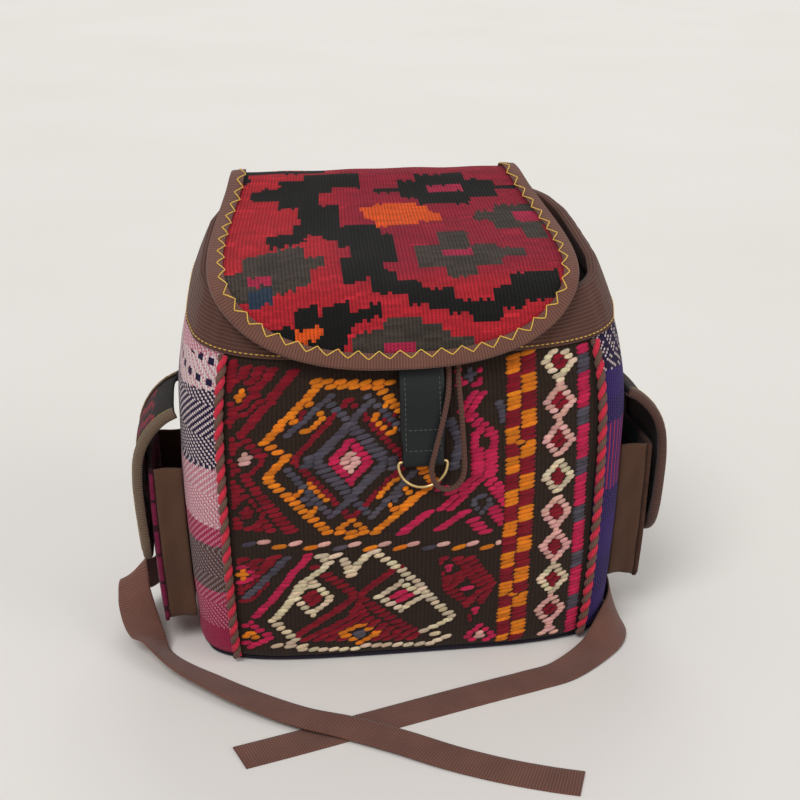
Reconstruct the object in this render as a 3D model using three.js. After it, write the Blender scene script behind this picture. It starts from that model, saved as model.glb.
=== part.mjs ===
// Kilim backpack with a kilim flap, two bellows pockets, padded shoulder straps and loose adjusting tapes.
// Millimetres, +Z up, the front faces -Y, the origin is the centre of the base where it meets the floor.

import * as THREE from 'three';

// Stuffed bag, measured on its outer cloth
const BASE_WIDTH = 300;
const BASE_FRONT_REACH = 73;
const BASE_BACK_REACH = 73;
const BELLY_WIDTH = 314;
const BELLY_WIDTH_HEIGHT = 175;
const BELLY_FRONT_REACH = 87;
const BELLY_BACK_REACH = 78;
const BELLY_DEPTH_HEIGHT = 130;
const MOUTH_WIDTH = 236;
const MOUTH_FRONT_REACH = 22;
const MOUTH_BACK_REACH = 68;
const RIM_FRONT_HEIGHT = 257;
const RIM_BACK_HEIGHT = 312;
const CORNER_POWER = 4;
const FOOT_RADIUS = 10;
const SEAM_REACH = 0.82;

// Cloth thicknesses and the clearances between layers
const KILIM = 3.5;
const LINING_CLOTH = 1.2;
const CASING_CLOTH = 1.2;
const BASE_CLOTH = 4;
const LAYER_GAP = 0.4;
const SEAM_GAP = 0.6;
const CASING_HEIGHT = 32;
const CASING_TUNNEL = 16;
const BRAID_DIAMETER = 6;

// Drawstring and its way out of the casing
const DRAWSTRING_DIAMETER = 3.5;
const CORD_EXIT_X = 26;
const CORD_EXIT_WIDTH = 17;

// Flap
const FLAP_BACK_WIDTH = 200;
const FLAP_FRONT_WIDTH = 246;
const FLAP_LENGTH = 224;
const FLAP_SIDE_LENGTH = 148;
const FLAP_SHIFT = -8;
const FLAP_SIDE_DROOP = 0.8;
const FLAP_FRONT_CURL = 7;
const FLAP_LIFT = 6;
const BINDING_CLOTH = 1.2;
const BINDING_WIDTH = 9;
const BINDING_GAP = 0.7;
const BINDING_FLARE = 0.6;

// Closure
const TAB_X = 4;
const TAB_WIDTH = 30;
const TAB_LEATHER = 2.4;
const TAB_TOP_DROP = 21;
const TAB_FOLD_LEATHER = 1.9;
const RING_WIRE = 2.1;
const RING_INNER_WIDTH = 31;
const RING_INNER_DROP = 18;
const RING_CORNER = 2;
const RING_DROP = 101;
const RING_EYE_GAP = 0.6;
const SNAP_DIAMETER = 18;
const SNAP_DEPTH = 1.6;
const SNAP_DROP = 61;

// Side pockets
const POCKET_WIDTH = 80;
const POCKET_CENTRE_Y = 2;
const POCKET_TOP = 138;
const POCKET_BOTTOMS = { left: 17, right: 29 };
const POCKET_DEPTH = 20;
const POCKET_CORNER = 16;
const POCKET_STRIP = 2;
const POCKET_FLAP_TOP = 178;
const POCKET_FLAP_LENGTH = 128;
const POCKET_FLAP_SIDE = 92;
const POCKET_FLAP_WIDTH = 84;
const POCKET_FLAP_CLOTH = 3.2;
const POCKET_FLAP_BULGE = 9.5;
const POCKET_BINDING_WIDTH = 6;

// Carrying straps
const HAUL_WIDTH = 22;
const HAUL_THICKNESS = 2.4;
const HAUL_SPAN = 80;
const HAUL_REACH = 27;
const HAUL_DROOP = 4;
const HAUL_HEIGHT = 266;
const STRAP_WIDTH = 50;
const STRAP_THICKNESS = 10;
const STRAP_END_WIDTH = 30;
const STRAP_END_THICKNESS = 3;
const STRAP_TOP_X = 58;
const STRAP_BOW = 32;
const BUCKLE_PLATE = 3.2;
const BUCKLE_BAR = 3.6;
const BUCKLE_LOOP_SLOT = 7;
const BUCKLE_TAPE_SLOT = 6;
const BUCKLE_SLOT_ROOM = 2.4;
const BUCKLE_POST = 3.3;
const BUCKLE_EYE = 2.9;
const LOOP_WEBBING = 1.4;
const LOOP_ROOM = 1.4;
const LOOP_LENGTH = 24;
const BUCKLE_CORNER = 2.5;
const BUCKLE_PIN_X = 90;
const BUCKLE_STANDOFF = 23;
const BUCKLE_PIN_HEIGHT = 112;
const TAPE_WIDTH = 25;
const TAPE_THICKNESS = 1.2;
const ANCHOR_SIZE = 34;
const ANCHOR_CLOTH = 2.6;
const ANCHOR_X = 92;
const ANCHOR_FOOT = 12;

const WALL_FOOT = BASE_CLOTH + LAYER_GAP;
const LINING_OUTER = -(KILIM + LAYER_GAP);
const LINING_INNER = LINING_OUTER - LINING_CLOTH;
const CASING_OUTER = LAYER_GAP + CASING_CLOTH;
const CASING_INNER = LINING_INNER - LAYER_GAP - CASING_CLOTH;

const BUCKLE_SLOT_WIDTH = TAPE_WIDTH + BUCKLE_SLOT_ROOM;
const BUCKLE_WIDTH = BUCKLE_SLOT_WIDTH + 2 * BUCKLE_POST;
const LOOP_WIDTH = BUCKLE_SLOT_WIDTH - LOOP_ROOM;
const BUCKLE_PIN = { x: BUCKLE_PIN_X, y: BELLY_BACK_REACH + BUCKLE_STANDOFF, z: BUCKLE_PIN_HEIGHT };
const RING_HEIGHT = RIM_FRONT_HEIGHT - RING_DROP;
const SNAP_HEIGHT = RIM_FRONT_HEIGHT - SNAP_DROP;

const bag = new THREE.Group();

// Looks of the plain cloths and fittings
const LOOKS = {
  kilim: { color: 0x7a1e2c, roughness: 0.95, metalness: 0 },
  gusset: { color: 0x4a3560, roughness: 0.95, metalness: 0 },
  brown: { color: 0x4b2f26, roughness: 0.85, metalness: 0 },
  canvas: { color: 0x33241d, roughness: 0.9, metalness: 0 },
  dark: { color: 0x17131c, roughness: 0.9, metalness: 0 },
  red: { color: 0xb5283c, roughness: 0.9, metalness: 0 },
  pocket: { color: 0x6d1832, roughness: 0.95, metalness: 0 },
  leather: { color: 0x1c2022, roughness: 0.5, metalness: 0 },
  brass: { color: 0xd7b978, roughness: 0.25, metalness: 1 },
  steel: { color: 0xb8b8b4, roughness: 0.3, metalness: 1 },
  plastic: { color: 0x141414, roughness: 0.45, metalness: 0 },
};

function addPiece(name, geometry, look, parent = bag) {
  const piece = new THREE.Mesh(geometry, new THREE.MeshStandardMaterial(LOOKS[look]));
  piece.name = name;
  parent.add(piece);
  return piece;
}

// Closed solid from corner points and triangles: shared corners are merged, flat triangles left out,
// and the faces are turned outwards
function solidOf(points, triangles) {
  const cornerOf = new Map();
  const corners = [];
  const merged = points.map((p) => {
    const key = [p.x, p.y, p.z].map((v) => Math.round(v * 1e4)).join(' ');
    if (!cornerOf.has(key)) {
      cornerOf.set(key, corners.length);
      corners.push(p);
    }
    return cornerOf.get(key);
  });
  const faces = triangles
    .map((t) => t.map((i) => merged[i]))
    .filter(([a, b, c]) => a !== b && b !== c && c !== a);
  let volume = 0;
  for (const [a, b, c] of faces) {
    volume += corners[a].dot(new THREE.Vector3().crossVectors(corners[b], corners[c]));
  }
  const outward = volume > 0 ? faces : faces.map(([a, b, c]) => [a, c, b]);
  const geometry = new THREE.BufferGeometry();
  const positions = corners.flatMap((p) => [p.x, p.y, p.z]);
  geometry.setAttribute('position', new THREE.Float32BufferAttribute(positions, 3));
  geometry.setIndex(outward.flat());
  geometry.computeVertexNormals();
  return geometry;
}

// Triangles that close a ring, found on the plane that the ring lies nearest to
function capTriangles(ring) {
  const normal = new THREE.Vector3();
  ring.forEach((p, i) => {
    normal.add(new THREE.Vector3().crossVectors(p, ring[(i + 1) % ring.length]));
  });
  const u = ring[1].clone().sub(ring[0]).normalize();
  const v = new THREE.Vector3().crossVectors(normal, u).normalize();
  const outline = ring.map((p) => new THREE.Vector2(p.dot(u), p.dot(v)));
  return THREE.ShapeUtils.triangulateShape(outline, []).map((corners) => {
    const clockwise = THREE.ShapeUtils.isClockWise(corners.map((i) => outline[i]));
    return clockwise ? [...corners].reverse() : corners;
  });
}

// Triangles that close a ring made of one row of points and the opposite row back again
function layerTriangles(ring) {
  const last = ring.length - 1;
  const triangles = [];
  for (let i = 0; i < last - 1 - i; i++) {
    triangles.push([i, i + 1, last - 1 - i], [i, last - 1 - i, last - i]);
  }
  return triangles;
}

// Loft through rings of equally many points, with its ends closed unless the rings run all the way round
function loft(rings, closed = false, closeRing = capTriangles) {
  const count = rings[0].length;
  const triangles = [];
  const spans = closed ? rings.length : rings.length - 1;
  for (let i = 0; i < spans; i++) {
    const here = i * count;
    const next = ((i + 1) % rings.length) * count;
    for (let j = 0; j < count; j++) {
      const k = (j + 1) % count;
      triangles.push([here + j, next + j, next + k], [here + j, next + k, here + k]);
    }
  }
  if (!closed) {
    const last = (rings.length - 1) * count;
    triangles.push(...closeRing(rings[0]));
    triangles.push(...closeRing(rings.at(-1)).map(([a, b, c]) => [last + a, last + c, last + b]));
  }
  return solidOf(rings.flat(), triangles);
}

function rectangle(width, height) {
  const w = width / 2;
  const h = height / 2;
  return [new THREE.Vector2(-w, -h), new THREE.Vector2(w, -h), new THREE.Vector2(w, h), new THREE.Vector2(-w, h)];
}

function disc(radius, sides) {
  const points = [];
  for (let i = 0; i < sides; i++) {
    const turn = (2 * Math.PI * (i + 0.5)) / sides;
    points.push(new THREE.Vector2(radius * Math.cos(turn), radius * Math.sin(turn)));
  }
  return points;
}

function vector(x, y, z) {
  return new THREE.Vector3(x, y, z);
}

const tangentAt = (route, i, closed) => {
  const last = route.length - 1;
  const before = route[i === 0 ? (closed ? last : 0) : i - 1];
  const after = route[i === last ? (closed ? 0 : last) : i + 1];
  return after.clone().sub(before).normalize();
};

// Section carried along a route: x of the section lies along "across", y along the route's other side
function sweep(route, across, sectionAt, closed = false) {
  const last = route.length - 1;
  const rings = route.map((point, i) => {
    const tangent = tangentAt(route, i, closed);
    const x = across[i].clone().addScaledVector(tangent, -across[i].dot(tangent)).normalize();
    const y = new THREE.Vector3().crossVectors(tangent, x);
    return sectionAt(i / last).map((p) => point.clone().addScaledVector(x, p.x).addScaledVector(y, p.y));
  });
  return loft(rings, closed);
}

// Directions across a route that turn no more than its bends do
function untwisted(route, first) {
  let across = first.clone();
  return route.map((point, i) => {
    const tangent = tangentAt(route, i, false);
    across = across.clone().addScaledVector(tangent, -across.dot(tangent)).normalize();
    return across;
  });
}

// Smooth curve between two values whose slopes are given
function ease(t, span, from, fromSlope, to, toSlope) {
  const t2 = t * t;
  const t3 = t2 * t;
  const rise = 3 * t2 - 2 * t3;
  return from * (1 - rise) + to * rise + span * ((t3 - 2 * t2 + t) * fromSlope + (t3 - t2) * toSlope);
}

function reachAt(z, low, lowSlope, middle, middleHeight, high, highSlope) {
  if (z < middleHeight) {
    return ease(Math.max(z, 0) / middleHeight, middleHeight, low, lowSlope, middle, 0);
  }
  const span = RIM_BACK_HEIGHT - middleHeight;
  return ease((z - middleHeight) / span, span, middle, 0, high, highSlope);
}

const widthAt = (z) => reachAt(z, BASE_WIDTH / 2, 0.06, BELLY_WIDTH / 2, BELLY_WIDTH_HEIGHT, MOUTH_WIDTH / 2, -0.55);
const frontAt = (z) => reachAt(z, BASE_FRONT_REACH, 0.2, BELLY_FRONT_REACH, BELLY_DEPTH_HEIGHT, MOUTH_FRONT_REACH, -0.9);
const backAt = (z) => reachAt(z, BASE_BACK_REACH, 0.08, BELLY_BACK_REACH, BELLY_DEPTH_HEIGHT, MOUTH_BACK_REACH, -0.1);

function signedPower(value, power) {
  return Math.sign(value) * Math.abs(value) ** power;
}

// Point of the stuffed bag at a station round it, a height, and a distance out from the outer cloth
function wallPoint(station, z, offset) {
  const halfWidth = widthAt(z);
  const front = frontAt(z);
  const back = backAt(z);
  const halfDepth = (front + back) / 2;
  const footDrop = Math.max(FOOT_RADIUS - z, 0);
  const inset = FOOT_RADIUS - Math.sqrt(FOOT_RADIUS ** 2 - Math.min(footDrop, FOOT_RADIUS) ** 2);
  const normal = vector(
    signedPower(station.x, CORNER_POWER - 1) / halfWidth,
    signedPower(station.y, CORNER_POWER - 1) / halfDepth,
    0,
  ).normalize();
  const point = vector(halfWidth * station.x, (back - front) / 2 + halfDepth * station.y, z);
  return point.addScaledVector(normal, offset - inset);
}

// Height of the slanted rim above a station
const rimAt = (station) => THREE.MathUtils.lerp(RIM_FRONT_HEIGHT, RIM_BACK_HEIGHT, (1 + station.y) / 2);

// Stations round the bag as shares of its half width and half depth, from the front middle through the left side
const byWidth = (x, side) => ({ x, y: side * (1 - Math.abs(x) ** CORNER_POWER) ** (1 / CORNER_POWER) });
const byDepth = (y, side) => ({ x: side * (1 - Math.abs(y) ** CORNER_POWER) ** (1 / CORNER_POWER), y });
const PANEL_REACHES = [-1, -0.85, -0.6, -0.3, 0, 0.3, 0.6, 0.85, 1];
const frontStations = (reach) => PANEL_REACHES.map((share) => byWidth(share * reach, -1));
const backStations = (reach) => PANEL_REACHES.map((share) => byWidth(-share * reach, 1));

function sideStations(side, reach) {
  const cornerReaches = [reach, 0.9, 0.955];
  const front = cornerReaches.map((x) => byWidth(side * x, -1));
  const back = cornerReaches.map((x) => byWidth(side * x, 1)).reverse();
  return [...front, ...[-0.42, 0, 0.42].map((y) => byDepth(y, side)), ...back];
}

// Rows up the wall: height of a share of the way to the rim, less a drop from it
const rowHeight = (station, share, drop) => THREE.MathUtils.lerp(WALL_FOOT, rimAt(station) - drop, share);
const WALL_SHARES = [0, 0.03, 0.09, 0.18, 0.3, 0.42, 0.54, 0.66, 0.78, 0.9, 1];
const WALL_ROWS = [...WALL_SHARES.map((share) => [share, CASING_HEIGHT]), [1, CASING_TUNNEL]];

// Layer of cloth up the wall between two distances from the outer cloth
function wallLayer(stations, outer, inner) {
  const section = [
    ...WALL_ROWS.map((row, i) => new THREE.Vector2(inner, i)),
    ...WALL_ROWS.map((row, i) => new THREE.Vector2(outer, i)).reverse(),
  ];
  const rings = stations.map((station) => section.map((p) => {
    const [share, drop] = WALL_ROWS[p.y];
    return wallPoint(station, rowHeight(station, share, drop), p.x);
  }));
  return loft(rings, false, layerTriangles);
}

// Walls of the bag
const seamShift = SEAM_GAP / 2 / (BASE_WIDTH / 2);
addPiece('front_panel', wallLayer(frontStations(SEAM_REACH - seamShift), 0, -KILIM), 'kilim');
addPiece('back_panel', wallLayer(backStations(SEAM_REACH - seamShift), 0, -KILIM), 'canvas');
addPiece('side_panel_left', wallLayer(sideStations(-1, SEAM_REACH + seamShift), 0, -KILIM), 'gusset');
addPiece('side_panel_right', wallLayer(sideStations(1, SEAM_REACH + seamShift).reverse(), 0, -KILIM), 'gusset');

// All round the bag, from the right end of the front panel over the left side, the back and the right side
function allStations() {
  const left = sideStations(-1, SEAM_REACH);
  const right = sideStations(1, SEAM_REACH).reverse();
  const front = frontStations(SEAM_REACH).slice(1, -1);
  const back = backStations(SEAM_REACH).slice(1, -1);
  return [...front.reverse(), ...left, ...back.reverse(), ...right];
}

// Inner bag: a cup of lining cloth that stands on the base
function liningCup() {
  const stations = allStations();
  const floor = WALL_FOOT;
  const ceiling = floor + LINING_CLOTH;
  const rings = stations.map((station) => {
    const walls = (offset) => WALL_ROWS.slice(1).map(([share, drop]) => (
      wallPoint(station, rowHeight(station, share, drop), offset)));
    const foot = (offset, z) => {
      const point = wallPoint(station, floor, offset);
      point.z = z;
      return point;
    };
    return [
      vector(0, 0, floor), foot(LINING_OUTER, floor), ...walls(LINING_OUTER),
      ...walls(LINING_INNER).reverse(), foot(LINING_INNER, ceiling), vector(0, 0, ceiling),
    ];
  });
  return loft(rings, true);
}
addPiece('lining', liningCup(), 'canvas');

// Base: a stiffened slab just inside the foot of the walls
function baseSlab() {
  const outline = new THREE.Shape(allStations().map((station) => {
    const point = wallPoint(station, FOOT_RADIUS / 2, -KILIM / 2);
    return new THREE.Vector2(point.x, point.y);
  }));
  return new THREE.ExtrudeGeometry(outline, { depth: BASE_CLOTH, bevelEnabled: false });
}
addPiece('base_panel', baseSlab(), 'dark');

// Casing: a band folded over the rim, its tunnel open at the drawstring's exit
function mouthCasing() {
  const outer = CASING_OUTER;
  const inner = CASING_INNER;
  const low = CASING_HEIGHT;
  const fold = CASING_CLOTH;
  const section = [
    [outer, low], [outer, fold], [outer - fold, 0], [inner + fold, 0], [inner, fold], [inner, low],
    [inner + CASING_CLOTH, low], [inner + CASING_CLOTH, fold * 1.2],
    [outer - CASING_CLOTH, fold * 1.2], [outer - CASING_CLOTH, low],
  ].map(([offset, drop]) => new THREE.Vector2(offset, drop));
  section.splice(1, 0, new THREE.Vector2(outer, CASING_TUNNEL));
  section.splice(6, 0, new THREE.Vector2(inner, CASING_TUNNEL));
  section.splice(9, 0, new THREE.Vector2(inner + CASING_CLOTH, CASING_TUNNEL));
  section.splice(12, 0, new THREE.Vector2(outer - CASING_CLOTH, CASING_TUNNEL));
  const rimWidth = widthAt(RIM_FRONT_HEIGHT);
  const exitFrom = (CORD_EXIT_X - CORD_EXIT_WIDTH / 2) / rimWidth;
  const exitTo = (CORD_EXIT_X + CORD_EXIT_WIDTH / 2) / rimWidth;
  const ring = allStations();
  const isFront = (station) => station.y < 0 && Math.abs(station.x) < SEAM_REACH;
  const leftOfExit = ring.filter((s) => isFront(s) && s.x < exitFrom - 0.02).sort((a, b) => b.x - a.x);
  const rightOfExit = ring.filter((s) => isFront(s) && s.x > exitTo + 0.02).sort((a, b) => b.x - a.x);
  const others = ring.filter((s) => !isFront(s));
  const stations = [byWidth(exitFrom, -1), ...leftOfExit, ...others, ...rightOfExit, byWidth(exitTo, -1)];
  const rings = stations.map((station) => section.map((p) => (
    wallPoint(station, rimAt(station) - p.y, p.x))));
  return loft(rings);
}
addPiece('mouth_casing', mouthCasing(), 'brown');

// Braids over the two front seams
function seamBraid(side) {
  const radius = BRAID_DIAMETER / 2;
  const station = byWidth(side * SEAM_REACH, -1);
  const top = CASING_HEIGHT + LAYER_GAP + 1;
  const lift = radius + LAYER_GAP;
  const route = WALL_SHARES.map((share) => wallPoint(station, rowHeight(station, share, top), lift));
  return sweep(route, route.map(() => vector(1, 0, 0)), () => disc(radius, 8));
}
addPiece('seam_braid_left', seamBraid(-1), 'red');
addPiece('seam_braid_right', seamBraid(1), 'red');

// Drawstring: out of the casing, down in front of the tab and ring, back up, and round inside the casing
const rimReach = (x) => x / widthAt(RIM_FRONT_HEIGHT);
const tunnelOffset = (CASING_OUTER + CASING_INNER) / 2;
const tunnelDrop = CASING_TUNNEL / 2 + 0.4;

function tunnelPoint(station) {
  return wallPoint(station, rimAt(station) - tunnelDrop, tunnelOffset);
}

const LOOP_POINTS = [
  [12.0, -62.0, 248.8], [18.0, -62.6, 248.8], [21.6, -66.0, 248.0], [21.9, -70.2, 243.5], [22.0, -74.6, 233.0],
  [22.3, -78.4, 221.0], [22.2, -82.4, 211.0], [20.8, -88.4, 202.0], [18.2, -91.2, 190.0], [14.8, -93.2, 177.0],
  [11.4, -95.6, 165.0], [8.8, -97.2, 155.0], [9.6, -96.4, 146.0], [13.2, -95.4, 139.6], [18.4, -94.9, 136.8],
  [24.2, -94.8, 137.8], [29.2, -94.6, 142.6], [31.4, -94.0, 150.0], [31.3, -93.0, 160.0], [30.6, -92.0, 172.0],
  [29.7, -90.8, 186.0], [28.9, -88.0, 199.0], [28.6, -82.6, 211.0], [28.8, -78.4, 221.0], [29.2, -74.6, 233.0],
  [29.8, -70.2, 243.5], [30.6, -66.0, 248.0], [34.0, -62.6, 248.8], [40.0, -62.0, 248.8],
];

function curveThrough(points, steps) {
  return new THREE.CatmullRomCurve3(points, false, 'centripetal').getSpacedPoints(steps);
}

function drawstring() {
  const exitAt = rimReach(CORD_EXIT_X);
  const nearExit = (s) => s.y < 0 && Math.abs(s.x - exitAt) < 0.15;
  const ring = allStations();
  const start = ring.findIndex((s) => s.y < 0 && s.x < exitAt);
  const round = [...ring.slice(start), ...ring.slice(0, start)].reverse().filter((s) => !nearExit(s));
  const loop = curveThrough(LOOP_POINTS.map((p) => vector(...p)), 42);
  const hidden = curveThrough([loop.at(-1), ...round.map(tunnelPoint)], 38);
  const route = [...loop, ...hidden.slice(1)];
  return sweep(route, untwisted(route, vector(0, 0, 1)), () => disc(DRAWSTRING_DIAMETER / 2, 6));
}
addPiece('drawstring', drawstring(), 'brown');

// Place on a surface that is measured across and along its cloth, with the direction that faces out
function surfaceNode(surface, across, along) {
  const step = 0.1;
  const sideways = surface(across + step, along).sub(surface(across - step, along));
  const onward = surface(across, along + step).sub(surface(across, along - step));
  const normal = new THREE.Vector3().crossVectors(onward, sideways).normalize();
  return { across, along, point: surface(across, along), normal };
}

// Apron: a sheet with one straight edge and a rounded far edge, lying on a curved surface.
// surface(across, along) gives the point on its under side; rows are the places along its straight sides
function apron(surface, rows, fullLength, halfWidthAt, power) {
  const turns = [-90, -83, -72, -54, -36, -18, 0, 18, 36, 54, 72, 83, 90];
  const endRows = 7;
  const sideLength = rows.at(-1);
  const grid = [];
  for (const turn of turns) {
    const sine = Math.sin(THREE.MathUtils.degToRad(turn));
    const share = Math.sign(sine) * Math.abs(sine) ** (2 / power);
    const rounded = Math.abs(turn) === 90 ? 0 : Math.cos(THREE.MathUtils.degToRad(turn)) ** (2 / power);
    const reach = (fullLength - sideLength) * rounded;
    const ends = Array.from({ length: endRows }, (_, j) => sideLength + (reach * (j + 1)) / endRows);
    grid.push([...rows, ...ends].map((along) => surfaceNode(surface, share * halfWidthAt(along), along)));
  }
  return grid;
}

const lifted = ({ point, normal }, height) => point.clone().addScaledVector(normal, height);

function apronSheet(grid, low, high) {
  const rings = grid.map((column) => [
    ...column.map((node) => lifted(node, low)),
    ...column.map((node) => lifted(node, high)).reverse(),
  ]);
  return loft(rings, false, layerTriangles);
}

// Folded edging round the free edge of an apron, a channel that the sheet sits in
function apronEdging(surface, grid, sheetHeight, width) {
  const straight = grid[0].findIndex((node, j) => j > 0 && node.along === grid[0][j - 1].along);
  const edge = [
    ...grid[0].slice(0, straight),
    ...grid.slice(1, -1).map((column) => column.at(-1)),
    ...grid.at(-1).slice(0, straight).reverse(),
  ];
  const outer = -BINDING_GAP - BINDING_CLOTH;
  const low = -BINDING_GAP;
  const high = sheetHeight + BINDING_GAP;
  const rings = edge.map((node, i) => {
    const before = edge[Math.max(i - 1, 0)];
    const after = edge[Math.min(i + 1, edge.length - 1)];
    const run = new THREE.Vector2(after.across - before.across, after.along - before.along).normalize();
    const inner = surfaceNode(surface, node.across + run.y * width, node.along - run.x * width);
    const inward = inner.point.clone().sub(node.point).normalize();
    const atEdge = (reach, height) => lifted(node, height).addScaledVector(inward, reach);
    return [
      atEdge(outer, low - BINDING_CLOTH), lifted(inner, low - BINDING_CLOTH - BINDING_FLARE),
      lifted(inner, low - BINDING_FLARE), atEdge(-BINDING_GAP, low), atEdge(-BINDING_GAP, high),
      lifted(inner, high + BINDING_FLARE), lifted(inner, high + BINDING_CLOTH + BINDING_FLARE),
      atEdge(outer, high + BINDING_CLOTH),
    ];
  });
  return loft(rings);
}

// Flap: from its seam on the back, over the rim, down to the front
const rimPlane = (y) => RIM_FRONT_HEIGHT
  + ((RIM_BACK_HEIGHT - RIM_FRONT_HEIGHT) * (y + frontAt(RIM_FRONT_HEIGHT)))
  / (backAt(RIM_BACK_HEIGHT) + frontAt(RIM_FRONT_HEIGHT));

const flapBack = (drop, room) => {
  const z = RIM_BACK_HEIGHT - drop;
  return [backAt(z) + CASING_OUTER + LAYER_GAP + room, z];
};
const flapFront = (drop, room) => {
  const z = RIM_FRONT_HEIGHT - drop;
  return [-(frontAt(z) + CASING_OUTER + room), z];
};
const flapOver = (share, room) => {
  const y = THREE.MathUtils.lerp(-frontAt(RIM_FRONT_HEIGHT), backAt(RIM_BACK_HEIGHT), share);
  return [y, rimPlane(y) + FLAP_LIFT + room];
};
const flapProfile = new THREE.CatmullRomCurve3([
  flapBack(28, 0), flapBack(14, 0.5), flapBack(3, 2), [backAt(RIM_BACK_HEIGHT) + 2, RIM_BACK_HEIGHT + 4.5],
  flapOver(0.94, 2), flapOver(0.78, 1.5), flapOver(0.55, 1), flapOver(0.32, 2), flapOver(0.145, 2.5),
  flapOver(0.003, -0.5), flapFront(7, 6.2), flapFront(19, 7), flapFront(32, 7.2), flapFront(47, 7.6),
].map(([y, z]) => vector(0, y, z)), false, 'centripetal');
const flapProfileLength = flapProfile.getLength();

function flapSurface(across, along) {
  const share = THREE.MathUtils.clamp(along / flapProfileLength, 0, 1);
  const point = flapProfile.getPointAt(share);
  const over = THREE.MathUtils.smoothstep(along, 20, 50);
  const hanging = THREE.MathUtils.smoothstep(along, 150, 200);
  const reach = across / (FLAP_FRONT_WIDTH / 2);
  point.x = across + FLAP_SHIFT;
  point.y += hanging * FLAP_FRONT_CURL * reach ** 4;
  point.z -= over * FLAP_SIDE_DROOP * reach ** 2;
  return point;
}

const flapHalfWidth = (along) => THREE.MathUtils.lerp(
  FLAP_BACK_WIDTH / 2, FLAP_FRONT_WIDTH / 2, THREE.MathUtils.smoothstep(along, 10, FLAP_SIDE_LENGTH));
const flapRows = [0, 10, 18, 25, 31, 38, 50, 68, 88, 108, 128, FLAP_SIDE_LENGTH];
const flapGrid = apron(flapSurface, flapRows, FLAP_LENGTH, flapHalfWidth, 2.4);
const flapKilimLow = LINING_CLOTH + LAYER_GAP;
const flapHeight = flapKilimLow + KILIM;
addPiece('flap_lining', apronSheet(flapGrid, 0, LINING_CLOTH), 'canvas');
addPiece('flap', apronSheet(flapGrid, flapHeight, flapKilimLow), 'kilim');
addPiece('flap_binding', apronEdging(flapSurface, flapGrid, flapHeight, BINDING_WIDTH), 'brown');

// Closure: leather tab under the flap, magnetic snap between tab and front panel, ring in the tab's eye
const ringRadius = RING_WIRE / 2;
const eyeRadius = ringRadius + RING_EYE_GAP;
const eyeOuter = eyeRadius + TAB_FOLD_LEATHER;
const ringY = -(frontAt(RING_HEIGHT) + LAYER_GAP + eyeOuter);
const snapRoom = 2 * SNAP_DEPTH + 3 * LAYER_GAP + TAB_LEATHER / 2;
const casingFoot = RIM_FRONT_HEIGHT - CASING_HEIGHT;
const outOfFront = (z, room) => [-(frontAt(z) + room), z];
const tabCentre = [
  outOfFront(RIM_FRONT_HEIGHT - TAB_TOP_DROP, CASING_OUTER + 3.4), outOfFront(casingFoot + 1, CASING_OUTER + 1.7),
  outOfFront(casingFoot - 8, CASING_OUTER + 2.4), outOfFront(SNAP_HEIGHT + 12, snapRoom + 0.1),
  outOfFront(SNAP_HEIGHT, snapRoom + 0.1), outOfFront(SNAP_HEIGHT - 20, snapRoom - 0.6),
  [ringY, RING_HEIGHT + eyeOuter + 1],
];

function closureTab() {
  const line = new THREE.CatmullRomCurve3(tabCentre.map(([y, z]) => vector(0, y, z)), false, 'centripetal');
  const centre = line.getSpacedPoints(12);
  const side = (sign) => centre.map((point, i) => {
    const tangent = tangentAt(centre, i, false);
    return new THREE.Vector2(
      point.y + (sign * tangent.z * TAB_LEATHER) / 2, point.z - (sign * tangent.y * TAB_LEATHER) / 2);
  });
  const eyeTurn = Math.asin(TAB_LEATHER / 2 / eyeOuter);
  const eye = [];
  for (let i = 0; i <= 12; i++) {
    const turn = Math.PI / 2 + eyeTurn + ((2 * Math.PI - 2 * eyeTurn) * i) / 12;
    eye.push(new THREE.Vector2(ringY + eyeOuter * Math.cos(turn), RING_HEIGHT + eyeOuter * Math.sin(turn)));
  }
  const outline = new THREE.Shape([...side(1), ...eye, ...side(-1).reverse()]);
  outline.holes.push(new THREE.Path().absarc(ringY, RING_HEIGHT, eyeRadius, 0, 2 * Math.PI, true));
  const geometry = new THREE.ExtrudeGeometry(outline, { depth: TAB_WIDTH, bevelEnabled: false, curveSegments: 6 });
  geometry.applyMatrix4(new THREE.Matrix4().set(0, 0, 1, 0, 1, 0, 0, 0, 0, 1, 0, 0, 0, 0, 0, 1));
  return geometry;
}
const tab = addPiece('closure_tab', closureTab(), 'leather');
tab.position.x = TAB_X - TAB_WIDTH / 2;

function ringOfWire() {
  const reach = RING_INNER_WIDTH / 2 + ringRadius;
  const drop = RING_INNER_DROP + ringRadius;
  const outline = new THREE.Path();
  outline.moveTo(0, 0);
  outline.lineTo(reach - RING_CORNER, 0);
  outline.quadraticCurveTo(reach, 0, reach, -RING_CORNER);
  outline.absellipse(0, -RING_CORNER, reach, drop - RING_CORNER, 0, Math.PI, true);
  outline.quadraticCurveTo(-reach, 0, RING_CORNER - reach, 0);
  const route = outline.getPoints(8).slice(0, -1).map((p) => vector(p.x, 0, p.y));
  const spaced = route.filter((p, i) => i === 0 || p.distanceTo(route[i - 1]) > 0.2);
  return sweep(spaced, spaced.map(() => vector(0, 1, 0)), () => disc(ringRadius, 8), true);
}
addPiece('d_ring', ringOfWire(), 'brass').position.set(TAB_X, ringY, RING_HEIGHT);

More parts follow.
